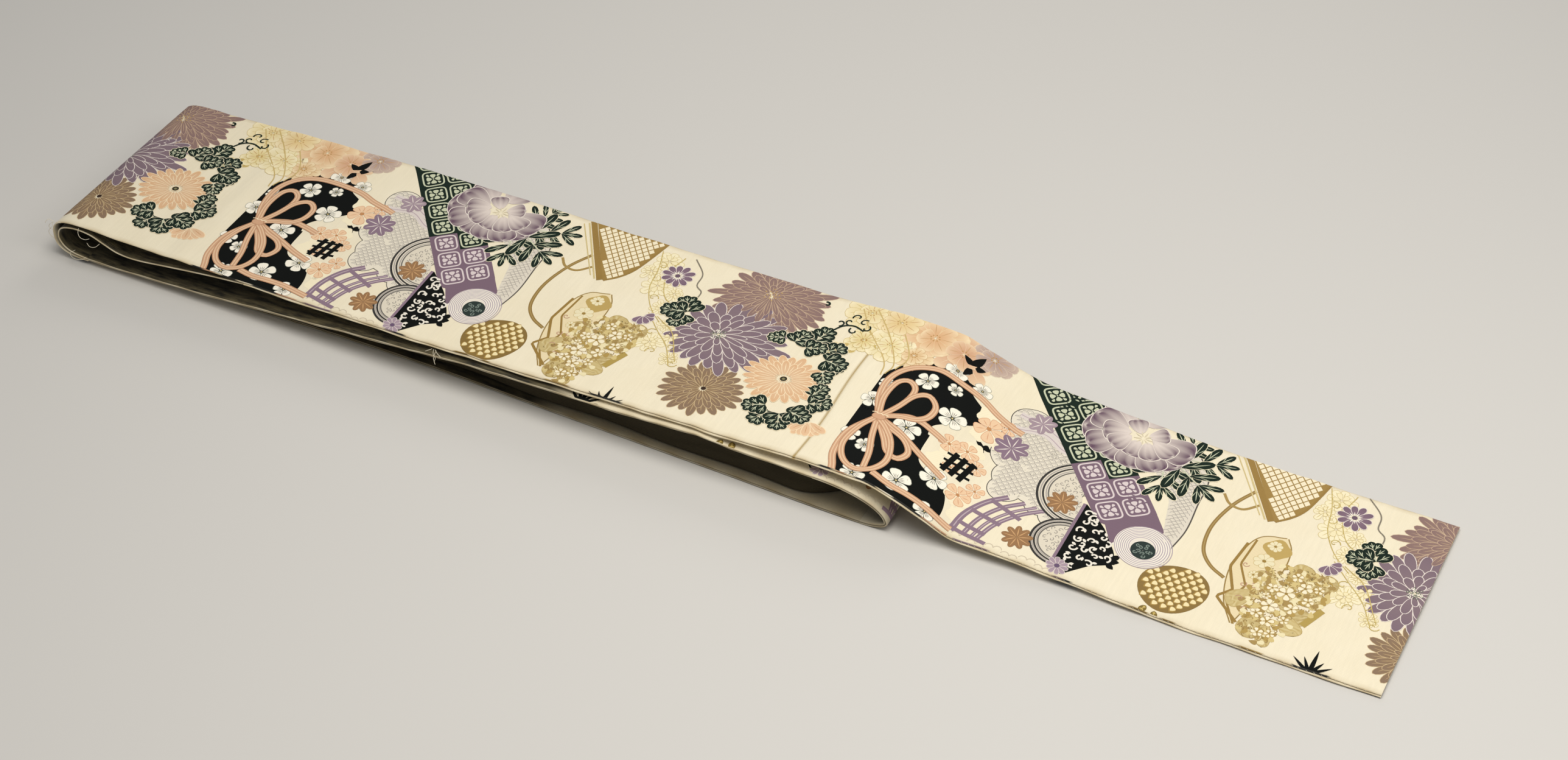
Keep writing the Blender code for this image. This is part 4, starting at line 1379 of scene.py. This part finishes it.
def draw_basket(design):
    """The gilt basket at the far edge, its handle and its curved stem."""
    spine = outline([(662, 322), (727, 218)])
    rim = curve([(772, 322), (764, 282), (756, 252), (744, 232), (729, 217)])
    design.patch(between(spine, rim, 14), "#A08040", 6, True)
    spots = staggered((660, 214), (776, 318), 10.4, 6.4)
    left = np.interp(spots[:, 1], [218, 322], [727, 662]) + 5.5
    right = np.interp(spots[:, 1], [217, 232, 252, 282, 322], [729, 744, 756, 764, 772]) - 4.5
    spots = spots[(spots[:, 0] > left) & (spots[:, 0] < right)]
    diamond = np.array([[(-4.3, 0.0), (0.0, -5.2)], [(0.0, 5.2), (4.3, 0.0)]])
    design.patch(spots[:, None, None] + diamond[None], "#F0E4C4", 10)
    design.patch(ribbon(outline([(656, 322), (724, 216)]), 4.2, 2), "#9A7A3A", 12, True)
    for ends, half in (([(652, 316), (716, 216)], 1.2), ([(646, 312), (708, 220)], 0.8)):
        design.line(outline(ends), half, PALE_GOLD, 12, True)
    design.patch(ribbon(rim, 1.6, 1), "#9A7A3A", 12, True)
    stem = curve([(690, 258), (674, 226), (664, 190), (662, 160), (668, 130), (684, 110),
                  (706, 98)])
    design.patch(ribbon(stem, 2.5, 2), "#97793F", 3, True)
    design.line(stem, 0.5, "#B59A5E", 4, True)
    design.patch(ribbon(curve([(656, 236), (668, 222), (686, 220), (702, 236)]), 1.9, 1),
                 "#A88A4C", 3, True)


def draw_gilt_fans(design):
    """The gilt fan-shaped box and the mass of gilt leaves with small pale flowers."""
    left = curve([(752, 196), (722, 184), (710, 150), (707, 110), (718, 64), (738, 30)])
    right = curve([(754, 196), (764, 176), (766, 140), (758, 104), (748, 66), (740, 30)])
    design.patch(between(left, right, 8), "#E6D5AC", 2)
    for side in (left, right):
        design.line(side, 0.8, GOLD, 3, True)
    for points, half in ((((712, 168), (706, 120), (722, 84), (708, 66), (744, 34)), 1.9),
                         (((720, 178), (716, 130), (734, 96), (722, 62), (742, 30)), 1.4)):
        design.line(outline(points), half, "#9A7A38", 4, True)
    design.patch(disc((748, 172), lambda a: 17 * (1 + 0.1 * np.cos(4 * a))), "#BFA25C", 4, True)
    for number, (u, v, r) in enumerate(((740, 146, 14), (744, 176, 10), (748, 112, 9),
                                        (736, 118, 7), (744, 84, 7))):
        design.ring((u, v), 8, 1, r, r * 0.3, "#E8DDB8", "#C7AC6C", 6, number * 17, rim=0.5)
        design.dot((u, v), r * 0.18, "#9C7F42", 12)
    design.line(curls([(730, 98), (742, 100), (734, 74), (746, 60), (752, 132), (722, 132)],
                      5.0, np.arange(6) * 60.0), 0.6, "#B98F76", 13)
    #          base        angle length width tone
    for number, (base, angle, length, width, tone) in enumerate((
            ((775, 110), 62, 70, 24, "#B79A50"), ((785, 100), 20, 56, 22, "#B59A58"),
            ((770, 90), 120, 62, 20, "#B3974F"), ((780, 84), -20, 58, 18, "#A88B48"),
            ((766, 70), 258, 70, 20, "#AE924C"), ((790, 76), 300, 52, 18, "#BDA25E"),
            ((752, 96), 225, 60, 18, "#B89D5A"), ((800, 118), 45, 60, 18, "#A58845"),
            ((776, 60), 275, 66, 12, "#AF9048"))):
        shape = petals(base, angle, 0.8 * length, 0.74 * width, ROUND, 0.2, 12, 6, 0.05, 0.08)
        t = np.linspace(0, 1, 13)[None, :, None] * np.ones((1, 13, 7))
        a = np.linspace(-1, 1, 7)[None, None, :]
        mottle = 0.5 + 0.5 * np.sin(26 * t + number) * np.cos(9 * a + 5 * t)
        design.patch(shape, shaded(tone, "#DCCB96", mottle), 4 + number, True)
        design.line(np.vstack([shape[0, :, 0], shape[0, ::-1, -1]]), 0.35, "#B79C5E", 4.9 + number,
                    True)
    flecks = staggered((744, 14), (834, 168), 8.5, 6.5)
    mass = ((776, 110, 42), (806, 116, 34), (768, 70, 38), (774, 34, 26), (808, 138, 27))
    flecks = flecks[inside(flecks, mass, 4)] + RNG.normal(0, 1.6, (1, 2))
    for share, tone in ((0, "#A98C50"), (1, "#E9DCB0"), (2, "#B3954F"), (3, "#D3BE82")):
        chosen = flecks[share::4]
        turn = np.arange(len(chosen)) * 67.0 + 30 * share
        design.patch(petals(chosen, turn, 11.0, 3.6, ROUND, 0.2, 4, 2), tone, 13, share % 2 == 0)
    design.patch(between(outline([(826, 100), (812, 66)]), outline([(834, 96), (820, 62)]), 2),
                 "#B4994E", 13, True)
    for number, (u, v, r) in enumerate((
            (782, 106, 12), (770, 78, 11), (800, 124, 10), (776, 52, 9), (796, 84, 9),
            (760, 60, 8), (772, 30, 8), (810, 104, 8), (786, 138, 8), (764, 108, 8),
            (816, 128, 7), (786, 34, 7), (762, 92, 6), (794, 62, 7))):
        design.ring((u, v), 5, 1, r, r * 0.36, "#F1E7C8", "#B4965A", 14, number * 31, rim=0.6,
                    notch=0.25)
        design.dot((u, v), r * 0.16, "#9C7F42", 21)
    veins = staggered((750, 20), (826, 164), 9.0, 7.0)
    veins = veins[inside(veins, mass, 5)]
    design.line(curls(veins, 3.4, np.arange(len(veins)) * 51.0, 1, 0.8, 7), 0.55, "#9A7E44", 13,
                True)


def draw_scrolls(design):
    """The pale gold scrolling vines, their flowers and the two small purple ones."""
    for number, (u, v, r) in enumerate(((790, 290, 22), (800, 238, 24), (778, 262, 16),
                                        (828, 232, 16), (846, 132, 20), (866, 150, 18),
                                        (884, 108, 13), (826, 200, 16), (850, 170, 14))):
        design.ring((u, v), 8, 2, r, r * 0.27, "#F1E6C2", "#CDB87C", number % 2 * 6, number * 11,
                    rim=0.6, vein="#CDB87C", uneven=0.12)
        design.ring((u, v), 6, 1, r * 0.55, r * 0.17, "#EFE2B8", "#C7B070", 18, number * 23,
                    rim=0.5, uneven=0.12)
    for points in (((772, 306), (784, 270), (792, 230), (812, 196), (838, 172)),
                   ((806, 306), (800, 268), (816, 226), (842, 206)),
                   ((816, 184), (840, 160), (868, 132), (888, 98)),
                   ((830, 182), (862, 160), (884, 122), (894, 104))):
        design.line(curve(points), 0.6, "#C4AE6A", 26)
    tips = np.array([(806, 214), (790, 250), (822, 252), (856, 116), (874, 130), (892, 100),
                     (838, 150), (786, 278), (812, 280)])
    design.line(curls(tips, 8.0, np.arange(9) * 70.0, by_turns(9), 1.0), 0.6, "#C4AE6A", 27)
    design.line(curve([(820, 310), (842, 286), (846, 262), (858, 250), (858, 228)]), 0.9,
                "#857D6E", 28)
    design.ring((814, 268), 10, 4, 23, 5.0, "#836C7A", PURPLE_EDGE, 28, tip="#745E6C",
                shape=STRAP)
    design.patch(petals(polar((814, 268), 2, np.arange(10) * 36.0), np.arange(10) * 36.0, 9, 0.8,
                        BLADE, 0, 3, 1), WHITE, 34)
    design.dot((814, 268), 3.6, "#6B5766", 35)
    design.ring((812, 176), 5, 2, 19, 5.0, "#836C7A", PURPLE_EDGE, 28, 250, 130)


def draw_thistle(design):
    """The black blades that spring from the near edge."""
    angle = np.array([16, 40, 64, 90, 118, 142, 164])
    design.patch(petals(np.full((7, 2), (848, -6)), angle, [24, 30, 26, 40, 28, 32, 24],
                        [2.6, 2.3, 2.4, 2.8, 2.3, 2.4, 2.6], BLADE, 0, 7, 2), BLACK, 30)
    design.patch(disc((848, -4), lambda a: 9 + 2 * np.cos(8 * a), 2, 32), BLACK, 31)


def figured_design():
    """The whole repeat: the corners of its quads, in metres, and the values there."""
    design = Design()
    for draw in (draw_far_peonies, draw_mums, draw_bow_panel, draw_clouds, draw_brocade_band,
                 draw_peony, draw_arabesque, draw_pine_cone, draw_basket, draw_gilt_fans,
                 draw_scrolls, draw_thistle):
        draw(design)
    return np.vstack(design.quads) * MM, np.vstack(design.values)


# ------------------------------
# Laying the design on the cloth.
# ------------------------------
def halved(corners, values, long_way):
    """Cuts quads in two across their longer way: 0 along corners 0 to 1, 1 along 1 to 2."""
    def cut(array, turn):
        a, b, c, d = [array[:, (k + turn) % 4] for k in range(4)]
        ab, cd = (a + b) / 2, (c + d) / 2
        return np.concatenate([np.stack([a, ab, cd, d], 1), np.stack([ab, b, c, cd], 1)])
    return cut(corners, long_way), cut(values, long_way)


def refined(stretch, corners, values):
    """Halves quads until each facet lies within FLAT_ERROR of the bent cloth."""
    done = []
    for _ in range(9):
        middle = corners.mean(axis=1)
        bend = stretch.bend(middle[:, 0], middle[:, 1])
        limit = np.clip(np.sqrt(8 * FLAT_ERROR / np.maximum(bend, 1e-3)), 1.1 * MM, 9 * MM)
        sides = np.abs(np.roll(corners, -1, axis=1) - corners)
        size = (sides / limit[:, None]).max(axis=2)
        size = np.maximum(size[:, :2], size[:, 2:])
        big = size.max(axis=1) > 1
        done.append((corners[~big], values[~big]))
        if not big.any():
            break
        way = size[big].argmax(axis=1)
        cuts = [halved(corners[big][way == k], values[big][way == k], k) for k in (0, 1)]
        corners, values = [np.concatenate(both) for both in zip(*cuts)]
    else:
        done.append((corners, values))
    return [np.concatenate(every) for every in zip(*done)]


def laid(stretch, design, phase, mirror=False, edges=None, window=None, drift=NO_DRIFT):
    """The design's quads on a stretch: repeated, cut at its ends and edges, and refined.

    phase is the design's coordinate at d = 0, and a mirrored design runs the other way from
    there. edges keeps only that much of the cloth along each long edge, and window only a span
    of d, where the rest is never seen. drift is a table like TOP_DRIFT."""
    quads, values = design
    start, stop = window or (stretch.start, stretch.stop)
    start, stop = max(start, stretch.start), min(stop, stretch.stop)
    way = -1 if mirror else 1
    ends = sorted((way * start + phase, way * stop + phase))
    first, last = int(np.floor(ends[0] / REPEAT)) - 1, int(np.ceil(ends[1] / REPEAT)) + 1
    kept, tones = [], []
    for number in range(first, last + 1):
        corners = quads.copy()
        corners[..., 0] = way * (corners[..., 0] + number * REPEAT - phase)
        corners = corners + np.stack([np.interp(corners[..., 0] / MM, drift[:, 0], drift[:, k])
                                      for k in (1, 2)], -1) * MM
        d, v = corners[..., 0], corners[..., 1]
        keep = (d.max(1) > start) & (d.min(1) < stop) & (v.max(1) > 0) & (v.min(1) < WIDTH)
        if edges:
            keep &= (v.min(1) < edges) | (v.max(1) > WIDTH - edges)
        kept.append(corners[keep])
        tones.append(values[keep])
    corners, values = np.concatenate(kept), np.concatenate(tones)
    corners[..., 0] = np.clip(corners[..., 0], start, stop)
    corners[..., 1] = np.clip(corners[..., 1], 0.2 * MM, WIDTH - 0.2 * MM)
    corners, values = refined(stretch, corners, values)
    x, y = corners[..., 0], corners[..., 1]
    area = 0.5 * ((x[:, 2] - x[:, 0]) * (y[:, 3] - y[:, 1])
                  - (x[:, 3] - x[:, 1]) * (y[:, 2] - y[:, 0]))
    solid = np.abs(area) > 2e-9
    turned = (area < 0) != (stretch.face < 0)
    corners[turned] = corners[turned][:, ::-1]
    values[turned] = values[turned][:, ::-1]
    corners, values = corners[solid], values[solid]
    order = np.argsort(values[:, 0, 3], kind="stable")
    return corners[order], values[order]


def figures(name, stretch, design, silk, gilt, phase, parts=1, **choice):
    """The silk figures of one stretch, in parts along it, and its gilt figures."""
    corners, values = laid(stretch, design, phase, **choice)
    share = (corners[..., 0].mean(axis=1) - stretch.start) / (stretch.stop - stretch.start)
    part = np.where(values[:, 0, 4] == 1, parts, np.floor(np.clip(share, 0, 0.999) * parts))
    made = []
    for number in range(parts + 1):
        chosen = part == number
        if not chosen.any():
            continue
        d, v = corners[chosen].reshape(-1, 2).T
        tone = values[chosen].reshape(-1, 5)
        n = stretch.normal(d, v)
        lift = LIFT + LEVEL * tone[:, 3]
        out = lift if stretch.face > 0 else -(CLOTH + lift)
        points = stretch.point(d, v, out, n)
        faces = np.arange(len(points)).reshape(-1, 4)
        rows = int(np.ceil((stretch.stop - stretch.start) / BAKE_ROW))
        row = np.floor((d.reshape(-1, 4).mean(axis=1) - stretch.start) / BAKE_ROW)
        row = np.repeat(np.clip(row, 0, rows - 1), 4)
        bake = bake_rows(d, v, row, stretch.start, rows)
        label = name + ("_gilt_figures" if number == parts else "_silk_figures")
        label += f"_{number + 1}" if number < parts > 1 else ""
        made.append(add_mesh(label, points, faces, gilt if number == parts else silk,
                             [("figure", "FLOAT_COLOR", tone[:, :3])],
                             [("cloth", np.stack([d, v], 1)), ("OFBake", bake)],
                             normals=n * stretch.face))
    return made


# ------------------------------
# The obi.
# ------------------------------
# Where a figure reaches the near edge, its colour shows on the edge: start and stop, in mm
# of the design.
EDGE_MARKS = (
    (214, 232, BLACK), (236, 250, ROSE_TAN), (262, 290, BLACK), (292, 312, WHITE),
    (314, 352, BLACK), (352, 384, ROSE_TAN), (392, 436, "#8C7684"), (520, 532, PURPLE),
    (534, 548, BLACK), (622, 646, "#8E7436"), (664, 680, "#8E7436"), (762, 792, "#A88C4C"),
    (826, 872, BLACK),
)


def hidden_core(material):
    """The padding deep between the runs and in the right fold's mouth, as sections at stations
    along x. Each goes up the near side, over the top and down the far side. Both sides are
    ribbed like the edges of the layers in it, inset + 1.3 mm * |sin(pi * height / 2.7 mm)|, and
    are drawn in as a square over the last 90 mm, in the mouth."""
    x = np.linspace(FOLD_START + 0.010, RIGHT_FOOT - 0.012, 110)
    run = np.minimum(x, RIGHT_TOP)
    drop = 2.4 * CLOTH + 1.0 * MM          # of its top under the middle run's upper face
    top = np.minimum(column(MIDDLE_RUN, 1, run), column(MIDDLE_RUN, 2, run)) - drop
    round_ = np.clip((x - RIGHT_TOP) / (RIGHT_FOLD_NOSE - RIGHT_TOP), 0, 1)
    top = RIGHT_FOLD_WAIST + (top - RIGHT_FOLD_WAIST) * np.where(
        round_ > 0, np.sqrt(1 - round_ ** 2) - 0.05 * round_, 1)
    low = np.full(len(x), DOUBLE + 0.5 * MM)
    top = np.maximum(top, low + 0.6 * MM)
    inset = np.maximum(column(MIDDLE_RUN, 3, run), column(BOTTOM_RUN, 1, np.maximum(
        x, BOTTOM_END))) + 8.0 * MM
    tail, drawn_in = 0.09, 0.06
    inset = inset + drawn_in * np.clip((x - x[-1] + tail) / tail, 0, 1) ** 2
    steps = 49                             # up either side
    t = np.linspace(0, 1, steps)
    height = low[:, None] + (top - low)[:, None] * t
    rib = 1.3 * MM * np.abs(np.sin(np.pi * height / (2.7 * MM) + 0.4 * np.sin(23 * x[:, None])))
    worn = 5.0 * MM * (2 * t - 1) ** 8 + 1.6 * MM * np.sin(31 * x + 0.7)[:, None]
    near = inset[:, None] + rib + worn
    far = WIDTH - near - 3.0 * MM
    y = np.concatenate([near, far[:, ::-1]], axis=1)
    z = np.concatenate([height, height[:, ::-1]], axis=1)
    ring = 2 * steps
    points = np.stack([np.broadcast_to(x[:, None], z.shape) + SHIFT_X, y + SHIFT_Y, z], -1)
    core = add_mesh("hidden_core_padding", points.reshape(-1, 3), closed_rings(len(x), ring),
                    material)
    return core


def seam_stitches(material, stretch, start, stop, v, out, name):
    """Small slanting stitches that close a long seam, every 9 mm: a low arch of thread each."""
    at = np.arange(start, stop, 9 * MM)
    at = at + RNG.normal(0, 0.7 * MM, len(at))
    t = np.linspace(0, 1, 5)
    stitches = []
    for d in at:
        path = stretch.point(d + 2.4 * MM * t, np.full(5, v), -out * t - 0.3 * MM)
        path[:, 1] += np.sign(v - WIDTH / 2) * (0.5 * MM + 0.5 * MM * np.sin(np.pi * t))
        stitches.append(tube(path, 0.28 * MM, 4))
    sewn(name, stitches, material)


def loose_threads(material):
    """The frayed ends of the seam's thread at the left fold's open near edge, and a tuft by
    the middle: a few fine hairs, each a smooth line through its own short table of points."""
    #    x, y, z in mm from the left fold's near edge on the floor
    hairs = (
        ((-13, -1, 44), (-15, -4, 50), (-12, -5, 57), (-4, -4, 62), (6, -3, 63)),
        ((-12, -2, 30), (-16, -5, 38), (-14, -7, 47), (-8, -5, 55), (-9, -3, 60)),
        ((-8, -1, 60), (-14, -3, 63), (-17, -5, 61), (-19, -6, 57)),
        ((34, -1, 62), (35, -5, 57), (40, -8, 53), (48, -8, 52), (54, -6, 54)),
        ((66, -1, 46), (60, -5, 41), (52, -6, 40), (46, -4, 43)),
        ((20, -1, 20), (14, -6, 16), (22, -9, 12), (34, -8, 13), (40, -5, 17)),
        ((596, -2, 54), (598, -7, 50), (602, -9, 46), (600, -10, 40)),
        ((598, -2, 54), (604, -6, 52), (610, -8, 50)),
        ((600, -2, 53), (599, -8, 47), (601, -11, 42), (603, -12, 38)),
        ((594, -2, 54), (590, -6, 53), (586, -7, 51)),
    )
    sewn("frayed_seam_thread",
         [tube(through(np.array(hair) * MM, 8) + (SHIFT_X, SHIFT_Y, 0), 0.32 * MM, 6)
          for hair in hairs], material)


HIDDEN_PANELS = ("front_panel_middle_run", "front_panel_bottom_run")


def dressed(label, stretch, ground, choice):
    """A stretch's shell, named as the cloth it was cut from. It stands for its CAD node, but
    the two hidden panels have none of their own."""
    made = shell(f"{label}_cloth", stretch, ground, **choice)
    if label not in HIDDEN_PANELS:
        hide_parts(label)


def make_obi():
    """Every stretch of both panels, the figures on them, the padding and the threads."""
    ground = ground_material()
    silk = figure_material("brocaded_silk_floats", 1.3 * MM, 0.9, 0.0, 0.66, 0.08, 0.22)
    gilt = figure_material("gilt_paper_thread_brocade", 1.0 * MM, 0.2, 0.12, 0.5, 0.35, 0.26)
    # The padding is coloured dark as painted shade, so the hollows between the runs read as deep
    # shade.
    padding_dark_as_shade = cotton_material("cotton_padding_dark_as_painted_shade", "#3A3323")
    thread = cotton_material("silk_sewing_thread", "#E6DCC4")
    design = figured_design()

    deep = PLY + PLY_GAP
    top_front = run_stretch(TOP_RUN, FOLD_START, LENGTH, 0.0, 1, TOP_CREASES)
    top_back = run_stretch(TOP_RUN, BELLY, LENGTH, DOUBLE - CLOTH - 0.8 * MM, -1, TOP_CREASES,
                           0.0022)
    fold_front, fold_back = left_fold_front(), left_fold_back()
    middle_back = run_stretch(MIDDLE_RUN, FOLD_START, RIGHT_TOP, 0.0, 1, MIDDLE_CREASES)
    middle_front = run_stretch(MIDDLE_RUN, FOLD_START, RIGHT_TOP, deep, -1, MIDDLE_CREASES,
                               -0.0020)
    nose_back, nose_front = right_fold(0.0, 1), right_fold(deep, -1)
    bottom_back = bottom_stretch(0.6 * MM, 1, nose_back.stop)
    bottom_front = bottom_stretch(DOUBLE - CLOTH, -1, nose_front.stop)

    plain = ()             # no figures show on it
    # In this table floats paints the dark back of the weave as shade over stretches in shadow, and
    # shade and worn darken the lower stretches, as painted shade too.
    for label, stretch, figured, held, under, choice in (
            ("front_panel_top_run", top_front, dict(phase=0.0, parts=2, drift=TOP_DRIFT),
             "laid", "back_panel_top_run_cloth", dict(marks=EDGE_MARKS)),
            ("back_panel_top_run", top_back,
             dict(phase=0.31, edges=0.03, window=(1.25, LENGTH)),
             "laid", "back_panel_middle_run_cloth", dict(columns=14)),
            ("front_panel_left_fold", fold_front, dict(phase=0.0),
             "folded", "front_panel_middle_run_cloth", {}),
            ("back_panel_left_fold", fold_back, plain,
             "folded", "back_panel_middle_run_cloth", dict(floats=(-9, 9), rim=0.1 * CLOTH)),
            ("back_panel_middle_run", middle_back,
             dict(phase=1.666, mirror=True, edges=0.02, window=(0.80, RIGHT_TOP)),
             "laid", "front_panel_middle_run_cloth", dict(floats=(-9, 0.82), columns=24)),
            ("front_panel_middle_run", middle_front, plain,
             "laid", "hidden_core_padding", dict(columns=14)),
            ("back_panel_right_fold", nose_back, dict(phase=1.666, mirror=True),
             "folded", "back_panel_bottom_run_cloth", dict(shade=(1, 0.6))),
            ("front_panel_right_fold", nose_front, plain,
             "folded", "front_panel_bottom_run_cloth",
             dict(floats=(1.17, nose_front.stop), rim=CLOTH, shade=(1, 0.45))),
            ("back_panel_bottom_run", bottom_back, dict(phase=1.666, mirror=True),
             "laid", "floor", dict(floats=(1.72, 9), shade=(0.6, 0.6), columns=14)),
            ("front_panel_bottom_run", bottom_front, plain,
             "laid", "back_panel_bottom_run_cloth",
             dict(floats=(1.72, 9), worn=0.2, shade=(0.45, 0.45), columns=14))):
        on_it = figures(label, stretch, design, silk, gilt, **figured) if figured else ()
        dressed(label, stretch, ground, choice)

    core = hidden_core(padding_dark_as_shade)
    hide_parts("hidden_layers")
    seam_stitches(thread, top_front, 0.62, LENGTH - 0.01, WIDTH, CLOTH, "far_seam_stitches")
    seam_stitches(thread, top_front, 1.30, LENGTH - 0.01, 0.0, CLOTH, "near_seam_stitches")
    loose_threads(thread)


def add_floor():
    """A broad plain floor under the obi."""
    reach, level = 14.0, -0.4 * MM
    corners = [(reach * x, reach * y, level) for x, y in ((-1, -1), (1, -1), (1, 1), (-1, 1))]
    mesh = bpy.data.meshes.new("floor")
    mesh.from_pydata(corners, [], [(0, 1, 2, 3)])
    mesh.materials.append(floor_material())
    put("floor", mesh)


def add_light(name, place, aim, size, power, colour):
    """A soft square lamp at a place, turned to its aim."""
    lamp = bpy.data.lights.new(name, "AREA")
    lamp.size, lamp.energy, lamp.color = size, power, colour
    made = put(name, lamp)
    made.location = place
    made.rotation_euler = (Vector(aim) - Vector(place)).to_track_quat("-Z", "Y").to_euler()


def add_studio():
    """Soft light from above and a little in front, weak ones from the side and from behind,
    and a pale room."""
    warm = (1.0, 0.97, 0.92)
    add_light("overhead_softbox", (0.5, -0.5, 2.9), (0.25, 0.0, 0.0), 2.0, 66, warm)
    add_light("side_softbox", (2.1, -0.2, 2.1), (0.95, 0.0, 0.0), 1.2, 17, (1.0, 0.985, 0.96))
    add_light("back_softbox", (-0.4, 2.6, 1.8), (0.0, 0.0, 0.0), 1.4, 14, warm)
    world = bpy.data.worlds.new("pale_room")
    world.use_nodes = True
    back = world.node_tree.nodes["Background"]
    back.inputs["Color"].default_value = (0.80, 0.82, 0.86, 1)
    back.inputs["Strength"].default_value = 0.30
    bpy.context.scene.world = world
    bpy.context.scene.view_settings.view_transform = "Standard"


def add_camera():
    """A 67 mm lens on a 36 mm sensor, at the place and turn that show the obi corner to
    corner."""
    lens = bpy.data.cameras.new("camera")
    lens.lens, lens.sensor_width = 67.33, 36.0
    lens.clip_start, lens.clip_end = 0.05, 60.0
    ahead = Vector((-0.3458, 0.6769, -0.6498)).normalized()
    right = Vector((0.8949, 0.4462, -0.0114)).normalized()
    up = right.cross(ahead).normalized()
    camera = put("camera", lens)
    turn = Matrix((right, up, -ahead)).transposed().to_4x4()
    camera.matrix_world = Matrix.Translation((1.3885, -2.5379, 2.4707)) @ turn
    bpy.context.scene.camera = camera


make_obi()
add_floor()
add_studio()
add_camera()
